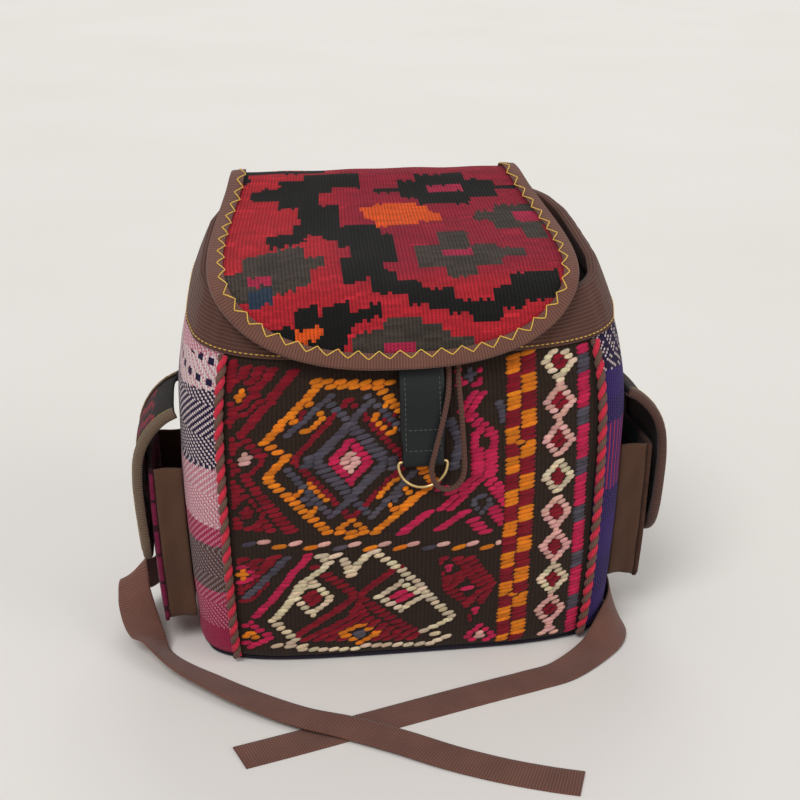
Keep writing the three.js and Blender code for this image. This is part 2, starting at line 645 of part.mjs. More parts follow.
function snapHalf(name, distance) {
  const r = SNAP_DIAMETER / 2;
  const rim = 0.4;
  const profile = [[0, 0], [r, 0], [r, SNAP_DEPTH - rim], [r - rim, SNAP_DEPTH], [0, SNAP_DEPTH]];
  const half = addPiece(name, new THREE.LatheGeometry(profile.map(([x, y]) => new THREE.Vector2(x, y)), 20), 'steel');
  const slope = (frontAt(SNAP_HEIGHT + 5) - frontAt(SNAP_HEIGHT - 5)) / 10;
  const normal = vector(0, -1, -slope).normalize();
  half.quaternion.setFromUnitVectors(vector(0, 1, 0), normal);
  half.position.set(TAB_X, -frontAt(SNAP_HEIGHT), SNAP_HEIGHT).addScaledVector(normal, distance);
}
snapHalf('snap_socket', LAYER_GAP);
snapHalf('snap_stud', 2 * LAYER_GAP + SNAP_DEPTH);

// Side pockets: bellows pockets with a face, a strip that gives depth, and a bound flap
function sidePoint(side, y, z, out) {
  const front = frontAt(z);
  const back = backAt(z);
  const share = (y - (back - front) / 2) / ((front + back) / 2);
  return vector(side * (widthAt(z) * (1 - Math.abs(share) ** CORNER_POWER) ** (1 / CORNER_POWER) + out), y, z);
}

function sidePocket(side, hand) {
  const bottom = POCKET_BOTTOMS[hand];
  const height = POCKET_TOP - bottom;
  const faceLow = POCKET_DEPTH + LAYER_GAP;
  const rows = [0, 0.25, 0.5, 0.75, 1].map((share) => share * (height - POCKET_CORNER));
  const onFace = (across, along, out) => (
    sidePoint(side, POCKET_CENTRE_Y + side * across, POCKET_TOP - along, out));
  const grid = apron((across, along) => onFace(across, along, faceLow), rows, height, () => POCKET_WIDTH / 2, 4);
  addPiece(`pocket_face_${hand}`, apronSheet(grid, 0, KILIM), 'pocket');

  const middle = vector(0, POCKET_CENTRE_Y, POCKET_TOP - height / 2);
  const edge = [
    ...grid[0].slice(0, rows.length),
    ...grid.slice(1, -1).map((column) => column.at(-1)),
    ...grid.at(-1).slice(0, rows.length).reverse(),
  ].map((node) => node.point);
  const strip = edge.map((point, i) => {
    const tangent = tangentAt(edge, i, false);
    const inward = vector(0, -tangent.z, tangent.y).normalize();
    if (inward.dot(middle.clone().sub(point)) < 0) {
      inward.negate();
    }
    const corner = (inset, out) => (
      sidePoint(side, point.y + inward.y * inset, point.z + inward.z * inset, out));
    const inner = 1 + POCKET_STRIP;
    return [corner(1, LAYER_GAP), corner(1, POCKET_DEPTH), corner(inner, POCKET_DEPTH), corner(inner, LAYER_GAP)];
  });
  addPiece(`pocket_gusset_${hand}`, loft(strip), 'brown');

  const deep = POCKET_DEPTH;
  const bulge = POCKET_FLAP_BULGE;
  const hang = new THREE.CatmullRomCurve3([
    [LAYER_GAP + BINDING_GAP + BINDING_CLOTH, 0], [deep / 2, 4], [deep, 14], [deep + 0.74 * bulge, 28],
    [deep + bulge, 46], [deep + bulge, 68], [deep + 0.9 * bulge, 94], [deep + 0.8 * bulge, 120],
  ].map(([out, drop]) => vector(out, 0, POCKET_FLAP_TOP - drop)), false, 'centripetal');
  const hangLength = hang.getLength();
  const flapAt = (across, along) => {
    const { x, z } = hang.getPointAt(THREE.MathUtils.clamp(along / hangLength, 0, 1));
    return sidePoint(side, POCKET_CENTRE_Y + side * across, z, x);
  };
  const flapSteps = [0, 8, 17, 26, 36, 48, 62, 77, POCKET_FLAP_SIDE];
  const flap = apron(flapAt, flapSteps, POCKET_FLAP_LENGTH, () => POCKET_FLAP_WIDTH / 2, 2.2);
  addPiece(`pocket_flap_${hand}`, apronSheet(flap, 0, POCKET_FLAP_CLOTH), 'kilim');
  const edging = apronEdging(flapAt, flap, POCKET_FLAP_CLOTH, POCKET_BINDING_WIDTH);
  addPiece(`pocket_flap_binding_${hand}`, edging, 'brown');
}

// Back: haul loop, shoulder straps, strap sliders, their webbing loops, corner anchors and adjusting tapes
const backPoint = (x, z, out) => wallPoint(byWidth(x / widthAt(z), 1), z, out);

function roundedStrip(width, thickness) {
  const w = width / 2;
  const t = thickness / 2;
  return [
    [-w, -t / 2], [-w + t, -t], [w - t, -t], [w, -t / 2], [w, t / 2], [w - t, t], [-w + t, t], [-w, t / 2],
  ].map(([x, y]) => new THREE.Vector2(x, y));
}

function haulLoop() {
  const sewn = (x) => backPoint(x, HAUL_HEIGHT, 2 * LAYER_GAP + HAUL_THICKNESS / 2);
  const bowed = (x, share) => sewn(x).add(vector(0, share * HAUL_REACH, -share * HAUL_DROOP));
  const end = HAUL_SPAN / 2;
  const points = [
    sewn(-end), sewn(-end * 0.74), bowed(-end * 0.6, 0.2), bowed(-end * 0.34, 0.78), bowed(0, 1),
    bowed(end * 0.34, 0.78), bowed(end * 0.6, 0.2), sewn(end * 0.74), sewn(end),
  ];
  const upWall = backPoint(0, HAUL_HEIGHT + 5, 0).sub(backPoint(0, HAUL_HEIGHT - 5, 0)).normalize();
  return tapeAlong(points, points.map(() => upWall), 3, HAUL_WIDTH, HAUL_THICKNESS);
}

// Flat tape through chosen points, turned by a direction across it at each of them
function tapeAlong(points, facing, stepsBetween, width, thickness) {
  const steps = (points.length - 1) * stepsBetween;
  const route = new THREE.CatmullRomCurve3(points, false, 'catmullrom').getPoints(steps);
  const across = new THREE.CatmullRomCurve3(facing, false, 'catmullrom').getPoints(steps);
  return sweep(route, across, () => rectangle(width, thickness));
}
addPiece('haul_loop', haulLoop(), 'brown');

function shoulderStrap(side) {
  const top = RIM_BACK_HEIGHT - CASING_HEIGHT - 4;
  const pin = BUCKLE_PIN;
  const onBack = (x, z, room) => backPoint(side * x, z, LAYER_GAP + room);
  const hang = (down, sideways, bow) => {
    const z = THREE.MathUtils.lerp(top, pin.z + 26, down);
    return vector(side * THREE.MathUtils.lerp(STRAP_TOP_X, pin.x, sideways), backAt(z) + bow * STRAP_BOW, z);
  };
  const points = [
    onBack(STRAP_TOP_X, top, STRAP_END_THICKNESS / 2), onBack(STRAP_TOP_X + 0.5, top - 12, STRAP_END_THICKNESS / 2 + 1),
    hang(0.23, 0.09, 0.51), hang(0.42, 0.31, 0.86), hang(0.62, 0.53, 1), hang(0.81, 0.72, 0.98),
    hang(0.93, 0.91, 0.83), vector(side * pin.x, pin.y, pin.z + 26), vector(side * pin.x, pin.y, pin.z + 14),
  ];
  const route = new THREE.CatmullRomCurve3(points, false, 'centripetal').getSpacedPoints(20);
  const section = (share) => {
    const padded = Math.min(THREE.MathUtils.smoothstep(share, 0.03, 0.3), 1 - THREE.MathUtils.smoothstep(share, 0.62, 0.84));
    return roundedStrip(
      THREE.MathUtils.lerp(STRAP_END_WIDTH, STRAP_WIDTH, Math.sqrt(padded)),
      THREE.MathUtils.lerp(STRAP_END_THICKNESS, STRAP_THICKNESS, padded),
    );
  };
  return sweep(route, route.map(() => vector(1, 0, 0)), section);
}

function buckleLoop() {
  const leaf = STRAP_END_THICKNESS / 2 + LAYER_GAP + LOOP_WEBBING / 2;
  const eye = BUCKLE_EYE + LOOP_WEBBING / 2;
  const route = [vector(0, -leaf, LOOP_LENGTH), vector(0, -leaf, LOOP_LENGTH / 2)];
  for (let i = 0; i <= 8; i++) {
    const turn = Math.PI * (1 + i / 8);
    route.push(vector(0, eye * Math.cos(turn), eye * Math.sin(turn)));
  }
  route.push(vector(0, leaf, LOOP_LENGTH / 2), vector(0, leaf, LOOP_LENGTH));
  return sweep(route, route.map(() => vector(1, 0, 0)), () => rectangle(LOOP_WIDTH, LOOP_WEBBING));
}

function buckleFrame() {
  const half = BUCKLE_WIDTH / 2;
  const bar = BUCKLE_BAR;
  const top = bar / 2;
  const bottom = top - 3 * bar - BUCKLE_LOOP_SLOT - BUCKLE_TAPE_SLOT;
  const outline = new THREE.Shape();
  const corner = BUCKLE_CORNER;
  outline.moveTo(-half + corner, top);
  outline.lineTo(-half, top - corner);
  outline.lineTo(-half, bottom + corner);
  outline.lineTo(-half + corner, bottom);
  outline.lineTo(half - corner, bottom);
  outline.lineTo(half, bottom + corner);
  outline.lineTo(half, top - corner);
  outline.lineTo(half - corner, top);
  const slot = (high, tall) => new THREE.Path([
    [-1, 0], [1, 0], [1, -tall], [-1, -tall],
  ].map(([x, y]) => new THREE.Vector2((x * BUCKLE_SLOT_WIDTH) / 2, high + y)));
  outline.holes.push(slot(-top, BUCKLE_LOOP_SLOT), slot(-top - BUCKLE_LOOP_SLOT - bar, BUCKLE_TAPE_SLOT));
  const geometry = new THREE.ExtrudeGeometry(outline, { depth: BUCKLE_PLATE, bevelEnabled: false });
  return geometry.translate(0, 0, -BUCKLE_PLATE / 2).rotateX(Math.PI / 2);
}

function cornerAnchor(side) {
  const x = side * ANCHOR_X;
  const rings = [0, 0.5, 1].map((share) => {
    const z = ANCHOR_FOOT + share * ANCHOR_SIZE;
    const half = THREE.MathUtils.lerp(ANCHOR_SIZE, TAPE_WIDTH, share) / 2;
    const row = [-half, 0, half];
    return [
      ...row.map((dx) => backPoint(x + dx, z, LAYER_GAP)),
      ...row.map((dx) => backPoint(x + dx, z, LAYER_GAP + ANCHOR_CLOTH)).reverse(),
    ];
  });
  return loft(rings);
}

// Tape of one side: up from its anchor, over the slider's middle bar, then the loose tail
function adjustingTape(side, tail) {
  const pin = BUCKLE_PIN;
  const leg = BUCKLE_PLATE / 2 + LAYER_GAP + TAPE_THICKNESS / 2;
  const foldTop = -BUCKLE_BAR / 2 - BUCKLE_LOOP_SLOT + LAYER_GAP + TAPE_THICKNESS / 2;
  const anchorLift = 3.6 * LAYER_GAP + ANCHOR_CLOTH + TAPE_THICKNESS / 2;
  const onAnchor = (z) => backPoint(side * ANCHOR_X, z, anchorLift);
  const alongWall = backPoint(side * (ANCHOR_X + 1), ANCHOR_FOOT, 0).sub(backPoint(side * ANCHOR_X, ANCHOR_FOOT, 0));
  alongWall.z = 0;
  const atPin = (y, z) => vector(side * pin.x, pin.y + y, pin.z + z);
  const points = [
    onAnchor(ANCHOR_FOOT + 6), onAnchor(ANCHOR_FOOT + 20), onAnchor(ANCHOR_FOOT + 36),
    atPin(-leg - 4.6, -40), atPin(-leg, -22), atPin(-leg, -12), atPin(-leg, foldTop - 1.7),
    atPin(-leg * 0.8, foldTop - 0.2), atPin(0, foldTop + 0.5), atPin(leg * 0.8, foldTop - 0.2),
    atPin(leg, foldTop - 1.7), atPin(leg, -12), atPin(leg, -22),
    ...tail.map(([x, y, z]) => vector(x, y, z)),
  ];
  const facing = [
    ...Array(3).fill(alongWall.normalize()), ...Array(10).fill(vector(side, 0, 0)),
    ...tail.map(([, , , x, y, z]) => vector(x, y, z)),
  ];
  return tapeAlong(points, facing, 2, TAPE_WIDTH, TAPE_THICKNESS);
}

// Tails: place of the tape's middle, then the direction across it
const TAILS = {
  left: [
    [-97, 109, 68, -0.9, 0, 0.4], [-114, 109, 48, -0.6, 0, 0.8], [-144, 96, 33, -0.2, 0, 1],
    [-167, 67, 26, 0, 0, 1], [-181, 38, 25, 0.1, 0, 1], [-190, 20, 32, 0.4, 0, 0.9],
    [-195, 9, 40, 0.72, 0.1, 0.69], [-196, -5, 31, 0.75, 0.2, 0.6], [-193, -19, 21, 0.7, 0.5, 0.45],
    [-188, -34, 13.5, 0.5, 0.8, 0.2], [-182, -47, 10, 0.25, 0.93, -0.2], [-175, -59, 7.6, 0.16, 0.93, -0.34],
    [-162, -77, 6, 0.24, 0.93, -0.3], [-146, -94, 5, 0.34, 0.92, -0.25], [-118, -122, 4.2, 0.42, 0.9, -0.16],
    [-86, -148, 3.6, 0.5, 0.86, -0.08], [-54, -165, 2.8, 0.5, 0.86, 0], [-24, -185, 2.6, 0.56, 0.83, 0],
    [4, -205, 1.8, 0.54, 0.84, 0], [33, -222, 1.0, 0.48, 0.88, 0], [60, -235, 0.8, 0.42, 0.9, 0],
    [80, -243, 0.8, 0.38, 0.92, 0],
  ],
  right: [
    [97, 109, 68, 0.9, 0, 0.4], [114, 107, 46, 0.6, 0, 0.8], [138, 90, 26, 0.2, 0, 1],
    [153, 62, 15, 0, 0, 1], [157, 35, 13.6, 0, 0, 1], [157.5, 5, 13.4, 0, 0, 1], [156.5, -22, 13.2, -0.1, 0, 1],
    [155, -45, 12.4, -0.4, 0.1, 0.9], [147, -66, 8.4, -0.66, 0.4, 0.5], [132, -85, 3, -0.7, 0.66, 0.1],
    [102, -110, 1.0, -0.52, 0.85, 0], [76, -120, 0.8, -0.34, 0.94, 0], [50, -128, 0.7, -0.3, 0.95, 0],
    [16, -139, 0.7, -0.32, 0.95, 0], [-20, -151, 0.7, -0.32, 0.95, 0], [-56, -163, 0.7, -0.32, 0.95, 0],
    [-92, -175, 0.7, -0.3, 0.95, 0], [-127, -186, 0.7, -0.3, 0.95, 0],
  ],
};

for (const [hand, side] of [['left', -1], ['right', 1]]) {
  sidePocket(side, hand);
  addPiece(`shoulder_strap_${hand}`, shoulderStrap(side), 'brown');
  const slider = new THREE.Group();
  slider.position.set(side * BUCKLE_PIN.x, BUCKLE_PIN.y, BUCKLE_PIN.z);
  bag.add(slider);
  addPiece(`buckle_loop_${hand}`, buckleLoop(), 'brown', slider);
  addPiece(`buckle_${hand}`, buckleFrame(), 'plastic', slider);
  addPiece(`base_anchor_${hand}`, cornerAnchor(side), 'brown');
  addPiece(`tape_${hand}`, adjustingTape(side, TAILS[hand]), 'brown');
}

export default bag;
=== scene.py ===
"""Looks of the kilim backpack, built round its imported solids.

Lengths are written in millimetres and turned to metres where a mesh is made.
The front of the bag faces -Y, and the origin is the middle of the base, on the floor.
"""

import math
import random

import bmesh
import bpy
import numpy as np
from bpy.props import FloatProperty, FloatVectorProperty, PointerProperty
from bpy.types import Operator, Panel, PropertyGroup
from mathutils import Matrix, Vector


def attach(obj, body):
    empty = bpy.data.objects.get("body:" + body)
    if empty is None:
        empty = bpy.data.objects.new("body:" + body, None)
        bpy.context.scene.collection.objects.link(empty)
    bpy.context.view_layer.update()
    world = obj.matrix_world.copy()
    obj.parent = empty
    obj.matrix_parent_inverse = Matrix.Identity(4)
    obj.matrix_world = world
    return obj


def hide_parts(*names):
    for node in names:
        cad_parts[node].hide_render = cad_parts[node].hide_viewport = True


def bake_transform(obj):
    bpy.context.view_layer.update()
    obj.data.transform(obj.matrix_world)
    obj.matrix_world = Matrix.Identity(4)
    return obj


bl_info = {
    "name": "Kilim Backpack",
    "version": (1, 0, 0),
    "blender": (4, 5, 0),
    "location": "View3D > Sidebar > Kilim Backpack",
    "description": "Woven looks for a kilim backpack",
    "category": "Mesh",
}

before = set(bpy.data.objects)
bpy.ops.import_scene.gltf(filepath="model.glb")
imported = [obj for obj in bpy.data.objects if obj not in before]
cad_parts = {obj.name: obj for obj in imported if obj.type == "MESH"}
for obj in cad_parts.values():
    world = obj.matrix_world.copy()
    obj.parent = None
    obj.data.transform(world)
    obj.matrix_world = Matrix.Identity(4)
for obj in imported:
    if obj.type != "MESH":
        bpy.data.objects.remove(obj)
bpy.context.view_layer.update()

MM = 0.001
HANDS = (("left", -1), ("right", 1))

# Form of the stuffed bag, as half widths and reaches of its outer cloth
BASE_WIDTH, BELLY_WIDTH, MOUTH_WIDTH = 300.0, 314.0, 236.0
BASE_REACH = 73.0
BELLY_FRONT, BELLY_BACK = 87.0, 78.0
MOUTH_FRONT, MOUTH_BACK = 22.0, 68.0
BELLY_WIDTH_HEIGHT, BELLY_DEPTH_HEIGHT = 175.0, 130.0
RIM_FRONT, RIM_BACK = 257.0, 312.0
CORNER = 4.0
FOOT = 10.0
SEAM = 0.82
WALL_FOOT = 4.4
CASING_HEIGHT = 32.0
CLOTH_TOPS = (24, 16)
KILIM = 3.5
LAYER_GAP = 0.4
BAND = 1.2
CASING_OUT = LAYER_GAP + BAND


def ease(t, span, start, start_slope, end, end_slope):
    """Smooth run between two values whose slopes are given."""
    t2, t3 = t * t, t * t * t
    rise = 3 * t2 - 2 * t3
    return start * (1 - rise) + end * rise + span * ((t3 - 2 * t2 + t) * start_slope + (t3 - t2) * end_slope)


def reach_at(z, low, low_slope, middle, height, high, high_slope):
    z = np.asarray(z, float)
    below = ease(np.clip(z, 0, height) / height, height, low, low_slope, middle, 0)
    span = RIM_BACK - height
    above = ease((np.maximum(z, height) - height) / span, span, middle, 0, high, high_slope)
    return np.where(z < height, below, above)


def width_at(z):
    return reach_at(z, BASE_WIDTH / 2, 0.06, BELLY_WIDTH / 2, BELLY_WIDTH_HEIGHT, MOUTH_WIDTH / 2, -0.55)


def front_at(z):
    return reach_at(z, BASE_REACH, 0.2, BELLY_FRONT, BELLY_DEPTH_HEIGHT, MOUTH_FRONT, -0.9)


def back_at(z):
    return reach_at(z, BASE_REACH, 0.08, BELLY_BACK, BELLY_DEPTH_HEIGHT, MOUTH_BACK, -0.1)


def other_share(share):
    """Share of one half axis of the bag's round, from the share of the other."""
    return (1 - np.minimum(np.abs(share), 1) ** CORNER) ** (1 / CORNER)


def wall(sx, sy, z, out=0.0):
    """Points of the bag's wall at shares of its half width and half depth, a height and a distance out."""
    sx, sy, z = np.broadcast_arrays(np.asarray(sx, float), np.asarray(sy, float), np.asarray(z, float))
    half_width, front, back = width_at(z), front_at(z), back_at(z)
    half_depth = (front + back) / 2
    drop = np.clip(FOOT - z, 0, FOOT)
    inset = FOOT - np.sqrt(FOOT**2 - drop**2)
    nx = np.sign(sx) * np.abs(sx) ** (CORNER - 1) / half_width
    ny = np.sign(sy) * np.abs(sy) ** (CORNER - 1) / half_depth
    length = np.sqrt(nx * nx + ny * ny)
    reach = out - inset
    return np.stack([
        half_width * sx + nx / length * reach,
        (back - front) / 2 + half_depth * sy + ny / length * reach,
        z,
    ], axis=-1)


def rim_at(sy):
    return RIM_FRONT + (RIM_BACK - RIM_FRONT) * (1 + sy) / 2


def puff(u, v, size):
    """Slow swells of stuffed cloth, in millimetres."""
    return size * (
        0.62 * np.sin(u / 31 + 1.3) * np.sin(v / 27 + 0.4)
        + 0.34 * np.sin(u / 13.7 + v / 23 + 2.1)
        + 0.26 * np.sin(v / 11.3 - u / 37)
    )


# Curves and meshes


def run_along(points):
    """Distance of each point from the first, along the points."""
    return np.concatenate([[0], np.cumsum(np.linalg.norm(np.diff(points, axis=0), axis=1))])


class Line:
    """Curve through points, measured along its length."""

    def __init__(self, points, centripetal=True, fine=24):
        self.stops = [np.asarray(p, float) for p in points]
        spans = len(self.stops) - 1
        self.dense = np.array([self.pass_at(k / fine, centripetal) for k in range(spans * fine + 1)])
        self.run = run_along(self.dense)
        self.length = float(self.run[-1])

    def pass_at(self, at, centripetal):
        stops, last = self.stops, len(self.stops) - 1
        i = min(int(at), last - 1)
        w = at - i
        b, c = stops[i], stops[i + 1]
        a = stops[i - 1] if i else 2 * b - c
        d = stops[i + 2] if i + 2 <= last else 2 * c - b
        if centripetal:
            ab, bc, cd = (max(float(np.linalg.norm(q - p)) ** 0.5, 1e-4) for p, q in ((a, b), (b, c), (c, d)))
            start = ((b - a) / ab - (c - a) / (ab + bc) + (c - b) / bc) * bc
            end = ((c - b) / bc - (d - b) / (bc + cd) + (d - c) / cd) * bc
        else:
            start, end = (c - a) / 2, (d - b) / 2
        w2, w3 = w * w, w * w * w
        return (2 * w3 - 3 * w2 + 1) * b + (w3 - 2 * w2 + w) * start + (3 * w2 - 2 * w3) * c + (w3 - w2) * end

    def at(self, distance):
        return np.stack([np.interp(distance, self.run, self.dense[:, k]) for k in range(3)], axis=-1)

    def spaced(self, steps):
        return self.at(np.linspace(0, self.length, steps + 1))


def unit(vectors):
    return vectors / np.maximum(np.linalg.norm(vectors, axis=-1, keepdims=True), 1e-9)


def tangents(points):
    return unit(np.gradient(points, axis=0))


def carried(points, first):
    """Directions across a curve that turn no more than its bends do."""
    across, here = [], np.asarray(first, float)
    for t in tangents(points):
        here = unit(here - t * float(here @ t))
        across.append(here)
    return np.array(across)


def square_to(along, across):
    """Directions across a curve, made square to it."""
    return unit(across - along * np.sum(across * along, axis=1, keepdims=True))


def mesh_piece(name, verts, faces, corners=None, tones=None):
    """Object from points in millimetres, with a cloth map and a yarn colour on each face corner."""
    mesh = bpy.data.meshes.new(name)
    mesh.from_pydata([tuple(float(c) * MM for c in v) for v in verts], [], faces)
    if corners is not None:
        layer = mesh.uv_layers.new(name="cloth")
        layer.data.foreach_set("uv", np.asarray(corners, np.float32).ravel() * MM)
    if tones is not None:
        layer = mesh.color_attributes.new("yarn", "FLOAT_COLOR", "CORNER")
        layer.data.foreach_set("color", np.asarray(tones, np.float32).ravel())
    mesh.polygons.foreach_set("use_smooth", [True] * len(mesh.polygons))
    piece = bpy.data.objects.new(name, mesh)
    bpy.context.scene.collection.objects.link(piece)
    return piece


def face_outwards(piece):
    shape = bmesh.new()
    shape.from_mesh(piece.data)
    bmesh.ops.recalc_face_normals(shape, faces=shape.faces)
    shape.to_mesh(piece.data)
    shape.free()
    return piece


def wrapped(rings, sides, run, girth, base=0, folded=False):
    """Faces round rings of points and over both ends, and the run and girth of their corners.

    A folded section gets a ladder of small faces over each end.
    """
    faces, corners = [], []
    for i in range(rings - 1):
        a, b = base + i * sides, base + (i + 1) * sides
        for j in range(sides):
            k = (j + 1) % sides
            faces.append((a + j, a + k, b + k, b + j))
            corners += [(run[i], girth[j]), (run[i], girth[j + 1])]
            corners += [(run[i + 1], girth[j + 1]), (run[i + 1], girth[j])]
    for i in (0, rings - 1):
        ends = [range(sides) if i else range(sides)[::-1]]
        if folded:
            ends = [(j, j + 1, sides - 2 - j, sides - 1 - j) for j in range(sides // 2 - 1)]
        for end in ends:
            faces.append([base + i * sides + n for n in end])
            corners += [(run[i], girth[n]) for n in sorted(end)]
    return faces, corners


def tube(name, points, across, section):
    """Section carried along a curve. The section is a list of (x, y), or a function of the share along."""
    rows = len(points)
    along = tangents(points)
    x = square_to(along, across)
    y = np.cross(along, x)
    shapes = [section(i / (rows - 1)) if callable(section) else section for i in range(rows)]
    shapes = [np.asarray(shape, float) for shape in shapes]
    verts = np.concatenate([points[i] + s[:, :1] * x[i] + s[:, 1:] * y[i] for i, s in enumerate(shapes)])
    middle = shapes[rows // 2]
    girth = run_along(np.vstack([middle, middle[:1]]))
    return face_outwards(mesh_piece(name, verts, *wrapped(rows, len(middle), run_along(points), girth)))


def round_section(radius, sides):
    turns = [2 * math.pi * k / sides for k in range(sides)]
    return [(radius * math.cos(turn), radius * math.sin(turn)) for turn in turns]


def strip_section(width, thickness, columns, edge):
    """Flat webbing: its faces in columns, and its edges a little fuller."""
    half, t = width / 2, thickness / 2
    xs = np.linspace(-half, half, columns + 1)
    full = [t * (1 + edge * (abs(x) / half) ** 8) for x in xs]
    top = [(x, f) for x, f in zip(xs, full)]
    return [(x, -f) for x, f in zip(xs, full)] + [(half + t * 0.7, 0)] + top[::-1] + [(-half - t * 0.7, 0)]


def layered(name, outer, inner, us, vs, keep=None, colours=None, wrap=False):
    """Closed sheet between two grids of points, with the cloth map's places of its columns and rows."""
    rows, cols = outer.shape[:2]
    spans = cols if wrap else cols - 1
    keep = np.ones((rows - 1, spans), bool) if keep is None else keep
    verts = np.concatenate([outer.reshape(-1, 3), inner.reshape(-1, 3)])
    half = rows * cols
    faces, corners, tones = [], [], []
    inside = lambda i, j: 0 <= i < rows - 1 and (wrap or 0 <= j < spans) and keep[i, j % spans]
    for i in range(rows - 1):
        for j in range(spans):
            if not keep[i, j]:
                continue
            k = (j + 1) % cols
            quad = (i * cols + j, i * cols + k, (i + 1) * cols + k, (i + 1) * cols + j)
            spot = [(us[j], vs[i]), (us[j + 1], vs[i]), (us[j + 1], vs[i + 1]), (us[j], vs[i + 1])]
            faces += [quad, tuple(half + v for v in quad[::-1])]
            corners += spot + spot[::-1]
            sides = 0
            for n, (di, dj) in enumerate(((-1, 0), (0, 1), (1, 0), (0, -1))):
                if not inside(i + di, j + dj):
                    m = (n + 1) % 4
                    faces.append((quad[m], quad[n], half + quad[n], half + quad[m]))
                    corners += [spot[m], spot[n], spot[n], spot[m]]
                    sides += 1
            if colours is not None:
                tones += [colours[i, j]] * (8 + 4 * sides)
    used = sorted({v for f in faces for v in f})
    place = {v: n for n, v in enumerate(used)}
    faces = [tuple(place[v] for v in f) for f in faces]
    return face_outwards(mesh_piece(name, verts[used], faces, corners, tones or None))


def slab(name, points, normals, low, high, keep=None, relief=None, colours=None, size=None, wrap=False):
    """Closed sheet over a grid of points. Relief lifts the outer points, and colours tint each face."""
    lift = np.full(points.shape[:2], float(high)) if relief is None else high + relief
    if size is None:
        us = np.append(0, np.cumsum(np.linalg.norm(np.diff(points, axis=1), axis=2).mean(0)))
        vs = np.append(0, np.cumsum(np.linalg.norm(np.diff(points, axis=0), axis=2).mean(1)))
        if wrap:
            us = np.append(us, us[-1] + np.linalg.norm(points[:, 0] - points[:, -1], axis=1).mean())
        size = (us, vs)
    outer, inner = points + normals * lift[..., None], points + normals * low
    return layered(name, outer, inner, *size, keep, colours, wrap)


def finish_piece(piece, material, body="bag", stands_for=()):
    """Gives a piece its finish, and the body it rides on unless it joins two."""
    piece.data.materials.clear()
    piece.data.materials.append(material)
    if body:
        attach(piece, body)
    if stands_for:
        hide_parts(*stands_for)
    return piece


# Colours


def tint(code):
    """Linear colour from a written one."""
    parts = [int(code[i : i + 2], 16) / 255 for i in (0, 2, 4)]
    return tuple(c / 12.92 if c <= 0.04045 else ((c + 0.055) / 1.055) ** 2.4 for c in parts) + (1.0,)


class Finish:
    """Node-based finish built up on one shader."""

    def __init__(self, name, roughness, **fixed):
        self.material = bpy.data.materials.new(name)
        self.material.use_nodes = True
        self.tree = self.material.node_tree
        self.shader = self.tree.nodes["Principled BSDF"]
        self.shader.inputs["Roughness"].default_value = roughness
        for socket, value in fixed.items():
            self.shader.inputs[socket.replace("_", " ")].default_value = value

    def node(self, kind, *values, **settings):
        node = self.tree.nodes.new("ShaderNode" + kind)
        for key, value in settings.items():
            setattr(node, key, value)
        for socket, value in zip(node.inputs, values):
            self.set(socket, value)
        return node

    def set(self, socket, value):
        if isinstance(value, bpy.types.NodeSocket):
            self.tree.links.new(value, socket)
        elif value is not None:
            socket.default_value = value

    def math(self, operation, *values):
        return self.node("Math", *values, operation=operation).outputs[0]

    def noise(self, place, scale, detail=2.0):
        node = self.node("TexNoise")
        self.set(node.inputs["Vector"], place)
        node.inputs["Scale"].default_value = scale
        node.inputs["Detail"].default_value = detail
        return node.outputs[0]

    def mix(self, share, one, two):
        node = self.node("Mix", data_type="RGBA")
        for index, value in ((0, share), (6, one), (7, two)):
            self.set(node.inputs[index], value)
        return node.outputs[2]

    def scaled(self, colour, share):
        start = colour[:3] if isinstance(colour, tuple) else colour
        node = self.node("VectorMath", start, operation="SCALE")
        self.set(node.inputs["Scale"], share)
        return node.outputs[0]

    def stretched(self, place, along, across, upward=1.0):
        return self.node("Mapping", place, None, None, (along, across, upward)).outputs[0]

    def cloth_map(self):
        self.place = self.node("UVMap", uv_map="cloth").outputs[0]
        split = self.node("SeparateXYZ", self.place)
        return split.outputs[0], split.outputs[1]

    def object_map(self):
        self.place = self.node("TexCoord").outputs["Object"]
        return self.place

    def yarn(self):
        return self.node("Attribute", attribute_name="yarn").outputs["Color"]

    def wave(self, run, pitch, shift=0.0):
        """Rises from 0 to 1 and back once in each pitch, given in millimetres."""
        turns = self.math("MULTIPLY_ADD", run, 2 * math.pi / (pitch * MM), shift)
        return self.math("MULTIPLY_ADD", self.math("COSINE", turns), 0.5, 0.5)

    def colour(self, value):
        self.set(self.shader.inputs["Base Color"], value)

    def bump(self, height, depth, strength=1.0):
        node = self.node("Bump")
        node.inputs["Strength"].default_value = strength
        node.inputs["Distance"].default_value = depth * MM
        self.set(node.inputs["Height"], height)
        self.set(self.shader.inputs["Normal"], node.outputs[0])

    def rough(self, low, high, share):
        self.set(self.shader.inputs["Roughness"], self.math("MULTIPLY_ADD", share, high - low, low))

    def shade(self, tone, first, *parts):
        """Colour times several factors, each a value with its gain and its floor. A factor that follows the
        weave's relief is painted shade and highlight; grain, streaks, hue, patches and wear are the yarn's
        own tone.
        """
        light = self.math("MULTIPLY_ADD", *first)
        for part in parts:
            light = self.math("MULTIPLY", light, self.math("MULTIPLY_ADD", *part))
        self.colour(self.scaled(tone, light))


